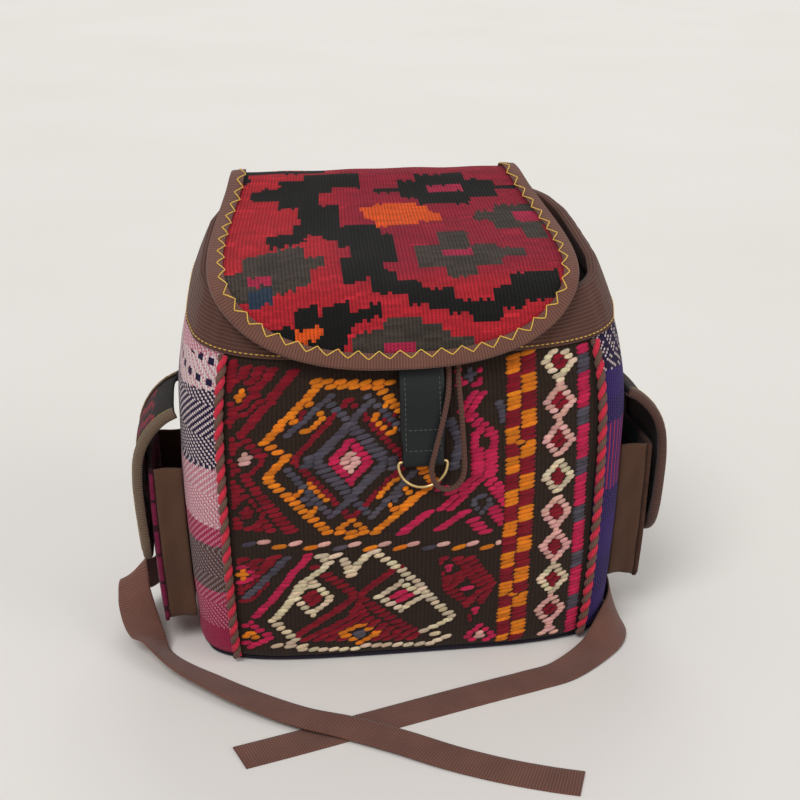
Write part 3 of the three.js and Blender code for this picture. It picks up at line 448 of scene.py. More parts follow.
def tapestry(name, warp, weft, depth, tone=None, streak=0.5):
    """Flat weave whose weft hides its warp: cords up the cloth, and the weft's turns across them."""
    f = Finish(name, 0.92, Sheen_Weight=0.06, Sheen_Roughness=0.6, Specular_IOR_Level=0.15)
    u, v = f.cloth_map()
    drift = f.math("MULTIPLY_ADD", f.noise(f.place, 110), 9.0, -4.5)
    cords = f.wave(u, warp, f.math("MULTIPLY", drift, 0.35))
    side = f.math("MULTIPLY", f.math("FLOOR", f.math("MULTIPLY", u, 1 / (warp * MM))), math.pi)
    turns = f.wave(v, weft, f.math("ADD", side, drift))
    thread = f.math("MULTIPLY", f.math("POWER", cords, 0.5), f.math("MULTIPLY_ADD", turns, 0.6, 0.4))
    grain = f.noise(f.place, 2600, 3)
    streaks = f.noise(f.stretched(f.place, 90, 620), 1.0, 3)
    # painted shade and highlight: thread is the weave's relief, so the colour is darker in the grooves
    # between cords and weft turns and lighter on their crowns; streaks and grain are the yarn's own tone
    lights = (thread, 0.62, 0.52), (streaks, streak * 2, 1 - streak), (grain, 0.5, 0.78)
    f.shade(f.yarn() if tone is None else tone, *lights)
    f.bump(f.math("MULTIPLY_ADD", grain, 0.3, thread), depth)
    f.rough(0.84, 0.98, grain)
    return f.material


def wool(name, pitch=1.5):
    """Thick soft yarn, with the slant of its twist."""
    f = Finish(name, 0.9, Sheen_Weight=0.08, Sheen_Roughness=0.5, Specular_IOR_Level=0.15)
    u, v = f.cloth_map()
    ply = f.wave(f.math("ADD", u, f.math("MULTIPLY", v, 1.4)), pitch)
    grain = f.noise(f.place, 3200, 2)
    hue = f.noise(f.object_map(), 420, 2)
    # painted shade and highlight: ply is the twist's relief, so the colour is darker in its grooves and
    # lighter on its ridges; grain and hue are the yarn's own tone
    f.shade(f.yarn(), (ply, 0.28, 0.74), (grain, 0.36, 0.82), (hue, 0.7, 0.65))
    f.bump(f.math("MULTIPLY_ADD", grain, 0.4, ply), 0.25)
    return f.material


def ribbed(name, tone, pitch, along="u", depth=0.35, worn=0.25):
    """Ribbed ribbon or webbing, its ribs a pitch apart along u or v, a little paler where it is rubbed."""
    f = Finish(name, 0.82, Sheen_Weight=0.12, Sheen_Roughness=0.5, Specular_IOR_Level=0.3)
    u, v = f.cloth_map()
    run, over = (u, v) if along == "u" else (v, u)
    ribs = f.wave(run, pitch)
    yarns = f.wave(over, pitch * 0.8)
    rubbed = f.noise(f.object_map(), 38, 3)
    grain = f.noise(f.place, 2400, 2)
    # painted shade and highlight: ribs is the ribbon's relief, so the colour is darker between the ribs and
    # lighter on their crowns; grain and the paler rubbed wear are the ribbon's own tone
    f.shade(tone, (ribs, 0.5, 0.62), (grain, 0.4, 0.8), (rubbed, 2 * worn, 1 - worn))
    f.bump(f.math("MULTIPLY_ADD", yarns, 0.3, ribs), depth)
    f.rough(0.72, 0.95, rubbed)
    return f.material


def canvas(name, tone, pitch, twill=False):
    """Plain or twill cloth of fine yarn."""
    f = Finish(name, 0.9, Sheen_Weight=0.1, Specular_IOR_Level=0.25)
    u, v = f.cloth_map()
    if twill:
        over = f.wave(f.math("ADD", u, v), pitch)
        under = f.wave(f.math("SUBTRACT", u, v), pitch * 0.5)
    else:
        over, under = f.wave(u, pitch), f.wave(v, pitch)
    weave = f.math("MULTIPLY_ADD", under, 0.5, over)
    patches = f.noise(f.object_map(), 24, 4)
    grain = f.noise(f.place, 1900, 2)
    # painted shade and highlight: weave is the cloth's relief, so the colour is darker in its hollows and
    # lighter where the yarns cross over; grain and patches are the cloth's own tone
    f.shade(tone, (weave, 0.28, 0.7), (grain, 0.4, 0.8), (patches, 0.7, 0.65))
    f.bump(weave, 0.2, 0.8)
    f.rough(0.82, 0.98, patches)
    return f.material


def hide(name, tone):
    """Smooth leather: pebbled grain, creases and a worn sheen."""
    f = Finish(name, 0.5, Specular_IOR_Level=0.28)
    place = f.object_map()
    pebbles = f.node("TexVoronoi", feature="F1")
    f.set(pebbles.inputs["Vector"], place)
    pebbles.inputs["Scale"].default_value = 1100
    creases = f.noise(f.stretched(place, 60, 60, 260), 1.0, 4)
    worn = f.noise(place, 55, 4)
    f.colour(f.mix(f.math("MULTIPLY", worn, 0.5), tone, tint("1a1f21")))
    f.bump(f.math("MULTIPLY_ADD", creases, 1.5, pebbles.outputs[0]), 0.18, 0.7)
    f.rough(0.34, 0.66, worn)
    return f.material


def metal(name, tone, dull=0.22):
    """Plated wire, brushed along and a little tarnished."""
    f = Finish(name, dull, Metallic=1.0)
    place = f.object_map()
    tarnish = f.noise(place, 130, 4)
    brushed = f.noise(f.stretched(place, 300, 300, 3000), 1.0, 2)
    f.colour(f.mix(f.math("MULTIPLY", tarnish, 0.5), tone, f.scaled(tone, 0.55)))
    f.bump(brushed, 0.04, 0.4)
    f.rough(dull - 0.06, dull + 0.22, tarnish)
    return f.material


def moulded(name, tone):
    """Moulded plastic with a fine matt grain."""
    f = Finish(name, 0.45)
    place = f.object_map()
    grain = f.noise(place, 2600, 2)
    scuffs = f.noise(place, 180, 4)
    f.colour(f.mix(f.math("MULTIPLY", scuffs, 0.35), tone, tint("3a3a3a")))
    f.bump(grain, 0.06, 0.6)
    f.rough(0.36, 0.6, scuffs)
    return f.material

def cord_braid(name, tone):
    """Round braid, its strands crossing both ways."""
    f = Finish(name, 0.8, Sheen_Weight=0.1, Specular_IOR_Level=0.3)
    u, v = f.cloth_map()
    slants = [f.wave(f.math("MULTIPLY_ADD", v, slant, u), 2.6) for slant in (0.55, -0.55)]
    strands = f.math("MAXIMUM", *slants)
    grain = f.noise(f.place, 2200, 2)
    # painted shade and highlight: strands is the braid's relief, so the colour is darker between the crossing
    # strands and lighter on them; grain is the braid's own tone
    f.shade(tone, (strands, 0.6, 0.5), (grain, 0.4, 0.8))
    f.bump(strands, 0.4)
    return f.material


def thread_finish(name, tone):
    """Shiny sewing thread, with the slant of its ply."""
    f = Finish(name, 0.5, Sheen_Weight=0.1)
    place = f.object_map()
    ply = f.noise(f.stretched(place, 2600, 2600, 2600), 1.0, 2)
    f.shade(tone, (ply, 0.7, 0.6))
    f.bump(ply, 0.1)
    f.rough(0.4, 0.7, ply)
    return f.material


# Settings


class BagColours(PropertyGroup):
    """Yarn and cloth colours."""

    def colour(label, code, use):
        options = {"subtype": "COLOR", "size": 4, "min": 0, "max": 1, "default": tint(code)}
        return FloatVectorProperty(name=label, description=use, **options)

    ground: colour("Ground", "2f2017", "Dark brown ground of the front panel")
    crimson: colour("Crimson", "8c1426", "Crimson wool")
    magenta: colour("Magenta", "cf2454", "Magenta wool")
    orange: colour("Orange", "f2861c", "Orange wool")
    cream: colour("Cream", "ecd6b4", "Cream wool")
    rose: colour("Rose", "efb4aa", "Pale pink wool")
    slate: colour("Slate", "57505c", "Slate grey wool")
    flap_red: colour("Flap red", "bd2430", "Red ground of the flap")
    flap_wine: colour("Flap wine", "9c1c34", "Wine red of the flap's upper part")
    flap_black: colour("Flap black", "100f0e", "Black bands of the flap")
    flap_grey: colour("Flap grey", "453c36", "Grey brown lozenges of the flap")
    flap_orange: colour("Flap orange", "ee5a1c", "Orange lozenge of the flap")
    binding: colour("Binding", "744c40", "Brown ribbon of the edges and tapes")
    purple: colour("Purple", "382068", "Purple side cloth")
    thread: colour("Thread", "e4b848", "Golden sewing thread")
    leather: colour("Leather", "0b0f11", "Closure tab")
    brass: colour("Brass", "e2c68a", "Plated D-ring")
    twist_red: colour("Braid red", "d23248", "Red strand of the seam braids")
    twist_brown: colour("Braid brown", "6f5348", "Brown strand of the seam braids")


class BagSizes(PropertyGroup):
    """Sizes of the surface work, in millimetres."""

    def size(label, default, low, high, use):
        return FloatProperty(name=label, description=use, default=default, min=low, max=high)

    stitch: size("Stitch length", 8.0, 4, 14, "Longest front stitch, mm")
    row: size("Row pitch", 3.0, 2, 5, "Distance between rows of front stitches, mm")
    rise: size("Stitch height", 1.7, 0.4, 3, "Height of a stitch above the ground, mm")
    cord: size("Drawstring", 3.5, 2, 6, "Drawstring diameter, mm")
    tape: size("Tape width", 25.0, 15, 30, "Width of the adjusting tapes, mm")
    zigzag: size("Zigzag pitch", 14.0, 6, 30, "Length of one zigzag of the edge stitching, mm")


def colours():
    return bpy.context.scene.bag_colours


def sizes():
    return bpy.context.scene.bag_sizes


def tone_of(name):
    return tuple(getattr(colours(), name))


# Round of the bag

ROUND_END, SIDE_FLAT = 0.955, 0.42


def by_width(sx, side):
    return sx, side * other_share(sx)


def by_depth(sy, side):
    return side * other_share(sy), sy


def side_stations(side, widths, depths):
    """Stations over one side, from its front seam to its back seam."""
    front = [by_width(side * x, -1) for x in widths]
    return front + [by_depth(y, side) for y in depths] + [by_width(x, 1) for x, _ in reversed(front)]


def side_round(side, fine):
    widths = np.linspace(SEAM, ROUND_END, 2 + 3 * fine)
    return side_stations(side, widths, np.linspace(-SIDE_FLAT, SIDE_FLAT, 3 + 12 * (fine - 1)))


def whole_round(fine):
    """Stations from the right end of the front, over the left side, the back and the right side."""
    across = np.linspace(SEAM, -SEAM, 17 + 24 * (fine - 1))[1:-1]
    front = [by_width(x, -1) for x in across]
    back = [by_width(-x, 1) for x in across]
    return front + side_round(-1, fine) + back + side_round(1, fine)[::-1]


def wall_grid(stations, shares, drop=CASING_HEIGHT, tops=()):
    """Grid up the wall at shares of the way to a drop below the rim, then at further drops from the rim."""
    sx, sy = (np.array(column) for column in zip(*stations))
    top = rim_at(sy)
    rows = [WALL_FOOT + (top - drop - WALL_FOOT) * share for share in shares] + [top - t for t in tops]
    z = np.array(rows)
    points = wall(sx[None, :], sy[None, :], z)
    return points, unit(wall(sx[None, :], sy[None, :], z, 1.0) - points)


# Cords

DRAWSTRING_ROUTE = [
    (12.0, -62.0, 248.8), (18.0, -62.6, 248.8), (21.6, -66.0, 248.0), (21.9, -70.2, 243.5),
    (22.0, -74.6, 233.0), (22.3, -78.4, 221.0), (22.2, -82.4, 211.0), (20.8, -88.4, 202.0),
    (18.2, -91.2, 190.0), (14.8, -93.2, 177.0), (11.4, -95.6, 165.0), (8.8, -97.2, 155.0),
    (9.6, -96.4, 146.0), (13.2, -95.4, 139.6), (18.4, -94.9, 136.8), (24.2, -94.8, 137.8),
    (29.2, -94.6, 142.6), (31.4, -94.0, 150.0), (31.3, -93.0, 160.0), (30.6, -92.0, 172.0),
    (29.7, -90.8, 186.0), (28.9, -88.0, 199.0), (28.6, -82.6, 211.0), (28.8, -78.4, 221.0),
    (29.2, -74.6, 233.0), (29.8, -70.2, 243.5), (30.6, -66.0, 248.0), (34.0, -62.6, 248.8),
    (40.0, -62.0, 248.8),
]
CORD_EXIT_X = 26.0
CORD_IN_CASING = (-2.55, 8.4)


def metres(points):
    return [tuple(float(c) * MM for c in p) for p in points]


def drawstring_route():
    loop = Line(DRAWSTRING_ROUTE).spaced(130)
    reaches = [reach * SEAM for reach in (0.85, 0.6, 0.3, 0, -0.3, -0.6, -0.85)]
    exit_at = CORD_EXIT_X / float(width_at(RIM_FRONT))
    front = [by_width(x, -1) for x in reaches]
    back = [by_width(-x, 1) for x in reaches]
    sides = [side_stations(side, (SEAM, 0.9, ROUND_END), (-SIDE_FLAT, 0, SIDE_FLAT)) for side in (-1, 1)]
    ring = front + sides[0] + back + sides[1][::-1]
    start = next(i for i, (x, y) in enumerate(ring) if y < 0 and x < exit_at)
    ring = (ring[start:] + ring[:start])[::-1]
    ring = [(x, y) for x, y in ring if not (y < 0 and abs(x - exit_at) < 0.15)]
    out, drop = CORD_IN_CASING
    hidden = [wall(x, y, rim_at(y) - drop, out) for x, y in ring]
    tunnel = Line([loop[-1]] + hidden).spaced(110)
    return np.concatenate([loop, tunnel[1:]])


TAPE_TAILS = {
    "left": [
        (-97, 109, 68, -0.9, 0, 0.4), (-114, 109, 48, -0.6, 0, 0.8), (-144, 96, 33, -0.2, 0, 1),
        (-167, 67, 26, 0, 0, 1), (-181, 38, 25, 0.1, 0, 1), (-190, 20, 32, 0.4, 0, 0.9),
        (-195, 9, 40, 0.72, 0.1, 0.69), (-196, -5, 31, 0.75, 0.2, 0.6), (-193, -19, 21, 0.7, 0.5, 0.45),
        (-188, -34, 13.5, 0.5, 0.8, 0.2), (-182, -47, 10, 0.25, 0.93, -0.2),
        (-175, -59, 7.6, 0.16, 0.93, -0.34), (-162, -77, 6, 0.24, 0.93, -0.3),
        (-146, -94, 5, 0.34, 0.92, -0.25), (-118, -122, 4.2, 0.42, 0.9, -0.16),
        (-86, -148, 3.6, 0.5, 0.86, -0.08), (-54, -165, 2.8, 0.5, 0.86, 0),
        (-24, -185, 2.6, 0.56, 0.83, 0), (4, -205, 1.8, 0.54, 0.84, 0), (33, -222, 1.0, 0.48, 0.88, 0),
        (60, -235, 0.8, 0.42, 0.9, 0), (80, -243, 0.8, 0.38, 0.92, 0),
    ],
    "right": [
        (97, 109, 68, 0.9, 0, 0.4), (114, 107, 46, 0.6, 0, 0.8), (138, 90, 26, 0.2, 0, 1),
        (153, 62, 15, 0, 0, 1), (157, 35, 13.6, 0, 0, 1), (157.5, 5, 13.4, 0, 0, 1),
        (156.5, -22, 13.2, -0.1, 0, 1), (155, -45, 12.4, -0.4, 0.1, 0.9), (147, -66, 8.4, -0.66, 0.4, 0.5),
        (132, -85, 3, -0.7, 0.66, 0.1), (102, -110, 1.0, -0.52, 0.85, 0), (76, -120, 0.8, -0.34, 0.94, 0),
        (50, -128, 0.7, -0.3, 0.95, 0), (16, -139, 0.7, -0.32, 0.95, 0), (-20, -151, 0.7, -0.32, 0.95, 0),
        (-56, -163, 0.7, -0.32, 0.95, 0), (-92, -175, 0.7, -0.3, 0.95, 0),
        (-127, -186, 0.7, -0.3, 0.95, 0),
    ],
}
BUCKLE_PIN = np.array([90.0, BELLY_BACK + 23.0, 112.0])
TAPE_THICKNESS = 1.2
ANCHOR_X, ANCHOR_FOOT, ANCHOR_SIZE, ANCHOR_CLOTH = 92.0, 12.0, 34.0, 2.6


def back_point(x, z, out):
    share = x / width_at(z)
    return wall(share, other_share(share), z, out)


def tape_route(side, tail):
    leg = BUCKLE_PLATE / 2 + LAYER_GAP + TAPE_THICKNESS / 2
    fold = -BUCKLE_BAR / 2 - BUCKLE_SLOTS[0] + LAYER_GAP + TAPE_THICKNESS / 2
    lift = 3.6 * LAYER_GAP + ANCHOR_CLOTH + TAPE_THICKNESS / 2
    pin = BUCKLE_PIN * (side, 1, 1)
    foot, beyond = (back_point(side * x, ANCHOR_FOOT, 0) for x in (ANCHOR_X, ANCHOR_X + 1))
    points = [back_point(side * ANCHOR_X, ANCHOR_FOOT + up, lift) for up in (6, 20, 36)]
    points += [pin + (0, y, z) for y, z in (
        (-leg - 4.6, -40), (-leg, -22), (-leg, -12), (-leg, fold - 1.7), (-leg * 0.8, fold - 0.2),
        (0, fold + 0.5), (leg * 0.8, fold - 0.2), (leg, fold - 1.7), (leg, -12), (leg, -22),
    )]
    facing = [unit(beyond - foot)] * 3 + [np.array([side, 0.0, 0.0])] * 10
    points += [np.array(t[:3], float) for t in tail]
    facing += [np.array(t[3:], float) for t in tail]
    return Line(points, False, 7).dense, Line(facing, False, 7).dense


class Cords(Operator):
    """Drawstring: a loop out of the mouth casing and its run inside it"""

    bl_idname = "kilim_bag.cords"
    bl_label = "Drawstring"

    def execute(self, context):
        route = drawstring_route()
        across = carried(route, (0, 0, 1))
        cord = tube("drawstring_braid", route, across, round_section(sizes().cord / 2, 12))
        finish_piece(cord, cord_braid("drawstring", tint("5a3a30")), None, ["drawstring"])
        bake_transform(cord)
        float(run_along(route)[-1]) * MM
        metres(route)
        return {"FINISHED"}


class Tapes(Operator):
    """Adjusting tapes, from their anchors round the buckles to their loose ends on the floor"""

    bl_idname = "kilim_bag.tapes"
    bl_label = "Adjusting tapes"

    def execute(self, context):
        finish = ribbed("tape_ribs", tone_of("binding"), 1.9, worn=0.3)
        for hand, side in HANDS:
            route, across = tape_route(side, TAPE_TAILS[hand])
            width = sizes().tape
            section = strip_section(width, TAPE_THICKNESS - 0.1, 10, 0.3)
            tape = tube(f"tape_webbing_{hand}", route, across, section)
            finish_piece(tape, finish, None, [f"tape_{hand}"])
            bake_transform(tape)
            path = metres(route)
            float(run_along(route)[-1]) * MM
        return {"FINISHED"}


LIGHTS = (("key", (-0.9, -1.3, 1.9), 1.35), ("fill", (1.6, -1.2, 0.9), 0.5), ("back", (0.3, 1.7, 1.5), 0.4))
SUN_SPREAD = math.radians(28)
CAMERA_PLACE, CAMERA_AIM = (-0.1373, -0.9851, 0.5291), (0, -0.008, 0.17)
CAMERA_LENS, CAMERA_SENSOR = 66.15, 36.0


class Stage(Operator):
    """Floor, backdrop colour, lights and camera"""

    bl_idname = "kilim_bag.stage"
    bl_label = "Stage"

    def execute(self, context):
        scene = context.scene
        scene.view_settings.view_transform = "Standard"
        bpy.ops.object.select_all(action="DESELECT")
        bpy.ops.mesh.primitive_plane_add(size=14, location=(0, 0, 0))
        floor = context.object
        floor.name = "floor"
        f = Finish("pale_floor", 0.6, Specular_IOR_Level=0.2)
        cloudy = f.noise(f.object_map(), 1.6, 3)
        f.colour(f.mix(cloudy, tint("e6e2dc"), tint("efece8")))
        floor.data.materials.append(f.material)

        scene.world = bpy.data.worlds.new("studio")
        scene.world.use_nodes = True
        self.sky(scene.world.node_tree)
        for name, place, strength in LIGHTS:
            light = bpy.data.lights.new(name, "SUN")
            light.energy, light.angle = strength, SUN_SPREAD
            lamp = bpy.data.objects.new(name, light)
            lamp.location = place
            lamp.rotation_euler = (-Vector(place)).to_track_quat("-Z", "Y").to_euler()
            scene.collection.objects.link(lamp)

        camera = bpy.data.objects.new("camera", bpy.data.cameras.new("camera"))
        camera.data.lens, camera.data.sensor_width = CAMERA_LENS, CAMERA_SENSOR
        camera.data.clip_start = 0.05
        camera.location = CAMERA_PLACE
        aim = Vector(CAMERA_AIM) - camera.location
        camera.rotation_euler = aim.to_track_quat("-Z", "Y").to_euler()
        scene.collection.objects.link(camera)
        scene.camera = camera
        return {"FINISHED"}

    @staticmethod
    def sky(tree):
        """Soft light, and a paler backdrop for what the camera sees, also in gloss and through glass."""
        lit = []
        for code, strength in (("f4f3f2", 0.5), ("e7e4de", 1.0)):
            lit.append(tree.nodes.new("ShaderNodeBackground"))
            lit[-1].inputs["Color"].default_value = tint(code)
            lit[-1].inputs["Strength"].default_value = strength
        rays = tree.nodes.new("ShaderNodeLightPath")
        seen = rays.outputs["Is Camera Ray"]
        for ray in ("Is Glossy Ray", "Is Transmission Ray"):
            either = tree.nodes.new("ShaderNodeMath")
            either.operation = "MAXIMUM"
            tree.links.new(seen, either.inputs[0])
            tree.links.new(rays.outputs[ray], either.inputs[1])
            seen = either.outputs[0]
        choice = tree.nodes.new("ShaderNodeMixShader")
        for socket, value in zip(choice.inputs, (seen, lit[0].outputs[0], lit[1].outputs[0])):
            tree.links.new(value, socket)
        tree.links.new(choice.outputs[0], tree.nodes["World Output"].inputs["Surface"])


# Front panel


class Chart:
    """Counted rows of coloured stitches, one place to a millimetre."""

    def __init__(self, reach, low, high, pitch):
        self.reach, self.pitch = reach, pitch
        count = range(math.ceil(low / pitch), int(high / pitch) + 1)
        self.rows = {k: [None] * (2 * reach + 1) for k in count}

    def fill(self, k, left, right, tone):
        if k in self.rows:
            for x in range(max(round(left), -self.reach), min(round(right), self.reach)):
                self.rows[k][x + self.reach] = tone

    def patch(self, points, tone):
        """Filled outline."""
        for k in self.rows:
            v = k * self.pitch
            cuts = []
            for (x0, v0), (x1, v1) in zip(points, points[1:] + points[:1]):
                if (v0 <= v) != (v1 <= v):
                    cuts.append(x0 + (x1 - x0) * (v - v0) / (v1 - v0))
            cuts.sort()
            for left, right in zip(cuts[::2], cuts[1::2]):
                self.fill(k, left, right, tone)

    def block(self, left, right, low, high, tone):
        self.patch([(left, low), (right, low), (right, high), (left, high)], tone)

    def line(self, points, tone, width, closed=False):
        """Line one stitch wide."""
        half = width / 2
        for (x0, v0), (x1, v1) in zip(points, points[1:] + (points[:1] if closed else [])):
            if abs(v1 - v0) < self.pitch:
                self.fill(round((v0 + v1) / 2 / self.pitch), min(x0, x1) - half, max(x0, x1) + half, tone)
                continue
            low, high = sorted((v0, v1))
            for k in range(math.ceil(low / self.pitch), int(high / self.pitch) + 1):
                x = x0 + (x1 - x0) * (k * self.pitch - v0) / (v1 - v0)
                reach = max(half, abs((x1 - x0) / (v1 - v0)) * self.pitch / 2)
                self.fill(k, x - reach, x + reach, tone)

    def diamond(self, x, v, across, up, *tones):
        """Nested diamonds, each tone with its share of the size."""
        for tone, share in tones:
            a, b = across * share, up * share
            self.patch([(x - a, v), (x, v - b), (x + a, v), (x, v + b)], tone)

    def runs(self):
        for k, row in self.rows.items():
            start = 0
            for i in range(1, len(row) + 1):
                if i == len(row) or row[i] != row[start]:
                    if row[start] and i - start > 2:
                        yield k * self.pitch, start - self.reach, i - self.reach, row[start]
                    start = i


def front_chart():
    """The front panel's field: hexagon, lozenges, hooks, blocks and the column of small diamonds."""
    chart = Chart(126, 4, 232, sizes().row)
    middle = -44

    # Nested outlines left of the hexagon, and the blobs between them
    wedge = [(-124, 214), (-74, 214), (-112, 168), (-99, 156), (-111, 139), (-79, 101), (-124, 101)]
    chart.patch(wedge, "crimson")
    chart.line([(-86, 214), (-122, 170), (-108, 156), (-120, 139), (-92, 101)], None, 5)
    for v, heart in ((194, "orange"), (152, "rose"), (113, "crimson")):
        chart.diamond(-114, v, 14, 15, ("crimson", 1), (None, 0.72), (heart, 0.42))
    chart.line([(-124, 222), (-104, 200), (-124, 176)], "crimson", 6)

    # Hexagon with its lozenge and small diamonds
    left = [(-63, 205), (-101, 165), (-87, 156), (-100, 140), (-59, 101)]
    right = [(2 * middle - x, v) for x, v in reversed(left)]
    chart.patch(left + right, None)
    chart.diamond(middle, 154, 41, 45, ("crimson", 1), (None, 0.86))
    small = (-73, 184, "crimson"), (-72, 126, "slate"), (-14, 130, "slate"), (-17, 184, "crimson")
    for x, v, heart in small:
        chart.diamond(x, v, 14, 14, ("orange", 1), (None, 0.62), (heart, 0.4))
    chart.diamond(middle, 104, 12, 9, ("orange", 1), (None, 0.5))
    for a in (-1, 1):
        chart.line([(middle - 42 * a, 170), (middle - 10 * a, 200)], "slate", 6)
        chart.line([(middle - 45 * a, 150), (middle - 12 * a, 112)], "slate", 6)
        chart.line([(middle - 12 * a, 193), (middle + 30 * a, 150)], "slate", 7)
        chart.line([(middle - 12 * a, 115), (middle + 30 * a, 158)], "slate", 7)
    hearts = ("slate", 1), (None, 0.66), ("magenta", 0.58), (None, 0.3), ("rose", 0.3)
    chart.diamond(middle, 154, 28, 31, *hearts)
    chart.line(left + right, "orange", 8, closed=True)
    chart.line([(-66, 206), (-16, 206)], "orange", 8)

    # Divider of dashes
    for i in range(10):
        chart.fill(round(94 / chart.pitch), -128 + 20.4 * i, -119 + 20.4 * i, "rose")
        chart.fill(round(90 / chart.pitch), -118 + 20.4 * i, -108 + 20.4 * i, "orange" if i % 3 else "slate")

    # Lower field
    chart.patch([(-122, 80), (-84, 82), (-112, 44), (-122, 44)], "crimson")
    chart.line([(-87, 83), (-117, 47)], "slate", 7)
    chart.line([(-73, 85), (-110, 32)], "magenta", 7)
    chart.diamond(-118, 66, 12, 10, ("magenta", 1), ("orange", 0.45))
    chart.diamond(-114, 16, 18, 12, ("magenta", 1), (None, 0.6), ("orange", 0.4))
    cream = [
        (-66, 84), (-57, 86), (-49, 81), (-44, 69), (-38, 80), (-29, 88), (-18, 79), (-5, 68), (1, 63),
        (12, 48), (18, 42), (28, 32), (18, 26), (8, 21), (24, 15), (12, 9), (-26, 9), (-50, 6), (-78, 8),
        (-96, 8), (-82, 14), (-91, 22), (-99, 30), (-92, 38), (-87, 46), (-79, 62), (-66, 72), (-60, 78),
    ]
    chart.patch(cream, None)
    chart.patch([(-82, 14), (-48, 34), (-40, 50), (-30, 34), (8, 12)], "crimson")
    for a in (-1, 1):
        chart.line([(-40 - 42 * a, 18), (-40 + 30 * a, 76)], "crimson", 9)
    chart.diamond(-71, 50, 16, 16, ("cream", 1), (None, 0.6), ("crimson", 0.48))
    chart.diamond(-9, 51, 20, 13, ("cream", 1), (None, 0.62), ("magenta", 0.5))
    chart.diamond(-38, 20, 17, 10, ("orange", 1), (None, 0.55), ("slate", 0.42))
    chart.line(cream, "cream", 7, closed=True)
    chart.patch([(16, 84), (40, 84), (58, 60), (40, 26), (34, 44), (20, 56)], "crimson")
    for x, v in ((24, 74), (37, 57), (44, 38)):
        chart.diamond(x, v, 9, 8, (None, 1), ("magenta", 0.5))
    chart.diamond(48, 16, 13, 10, ("magenta", 1), (None, 0.55), ("rose", 0.4))

    # Hooks right of the hexagon
    chart.block(27, 46, 207, 219, "magenta")
    chart.diamond(37, 213, 9, 7, (None, 1), ("slate", 0.6))
    chart.line([(44, 203), (34, 189), (47, 177)], "magenta", 12)
    chart.block(37, 56, 146, 177, "magenta")
    chart.block(43, 50, 163, 172, None)
    chart.line([(57, 196), (60, 182)], "slate", 6)
    chart.line([(46, 147), (20, 119)], "magenta", 13)
    chart.line([(46, 147), (67, 119)], "magenta", 12)
    chart.line([(26, 150), (30, 168), (22, 184)], "slate", 7)
    for x0, v0, x1, v1 in (
        (9, 118, -10, 101), (34, 118, 14, 103), (38, 113, 50, 100), (52, 121, 64, 105), (24, 132, 8, 140),
    ):
        chart.line([(x0, v0), (x1, v1)], "magenta", 10)
    chart.diamond(45, 124, 9, 9, ("slate", 1), (None, 0.5))

    # Columns of blocks
    for low, shift in ((0, 0), (-11.7, 1)):
        left = 62 + 10 * shift
        for i in range(11):
            v = 4 + low + 23.4 * i
            lean = -0.012 * (210 - v)
            chart.block(left + lean, left + lean + 11, v, v + 12, "orange")
            chart.block(left + lean, left + lean + 11, v + 12, v + 23.4, "crimson")

    # Column of small diamonds, and the stitches beside it
    for i in range(9):
        chart.diamond(99, 222 - 26.6 * i, 12.5, 15.2, ("rose" if i % 3 else "cream", 1), ("crimson", 0.5))
    for k in chart.rows:
        chart.fill(k, 112, 121, "magenta" if (k // 4) % 3 else "slate")
    return chart


STITCH_RINGS = ((-0.5, 0.3), (-0.34, 0.86), (0.0, 1.0), (0.34, 0.86), (0.5, 0.3))
STITCH_ARC = 6
STITCH_OVERLAP = 1.08
ROW_OVERLAP = 0.66
ROW_LEAN = 0.06
STITCH_SINK = 0.35
PANEL_SKIN = -1.0


def panel_skin(x, z):
    """Outer side of the front's ground cloth at a distance across and a height."""
    share = np.clip(x / width_at(z), -1, 1)
    return share, -other_share(share), PANEL_SKIN + puff(x + 90, z, 0.8)


def front_stitches():
    """Wool stitches of the chart, each a low mound with its own slant, length and shade."""
    chart = front_chart()
    draw = random.Random(11)
    starts, verts, faces, corners, tones = [], [], [], [], []
    for v, left, right, name in chart.runs():
        count = max(1, round((right - left) / sizes().stitch))
        step = (right - left) / count
        starts += [(left + (i + 0.5) * step, v, step, name) for i in range(count)]
    half_width = chart.pitch * ROW_OVERLAP
    rings = len(STITCH_RINGS)
    for x, v, length, name in starts:
        x += draw.uniform(-0.5, 0.5)
        z = v - ROW_LEAN * x + draw.uniform(-0.25, 0.25)
        share = abs(x) / float(width_at(z))
        top = float(rim_at(-other_share(min(share, 1)))) - CASING_HEIGHT - 1.5
        if z > top or z < 7 or share > SEAM - 0.03:
            continue
        rise = math.tan(math.radians(draw.uniform(8, 17))) * length
        height = sizes().rise * draw.uniform(0.85, 1.1)
        light = draw.uniform(0.72, 1.12)
        tone = [c * light * draw.uniform(0.94, 1.06) for c in tone_of(name)[:3]] + [1.0]
        base = len(verts)
        for along, size in STITCH_RINGS:
            cx, cz = x + along * length * STITCH_OVERLAP, z + along * rise
            for k in range(STITCH_ARC):
                turn = math.pi * k / (STITCH_ARC - 1)
                pz = cz + math.cos(turn) * half_width * size
                sx, sy, ground = panel_skin(cx, pz)
                verts.append(wall(sx, sy, pz, ground - STITCH_SINK + math.sin(turn) * height * size))
        for r in range(rings - 1):
            a, b = base + r * STITCH_ARC, base + (r + 1) * STITCH_ARC
            u0, u1 = r * length / (rings - 1), (r + 1) * length / (rings - 1)
            for k in range(STITCH_ARC):
                m = (k + 1) % STITCH_ARC
                faces.append((a + k, b + k, b + m, a + m))
                corners += [(u0, k), (u1, k), (u1, k + 1), (u0, k + 1)]
        for ring in (0, rings - 1):
            cap = [base + ring * STITCH_ARC + k for k in range(STITCH_ARC)]
            faces.append(cap[::-1] if ring else cap)
            corners += [(0, k) for k in range(STITCH_ARC)]
        tones += [tone] * (len(corners) - len(tones))
    return mesh_piece("front_stitches", verts, faces, corners, tones)


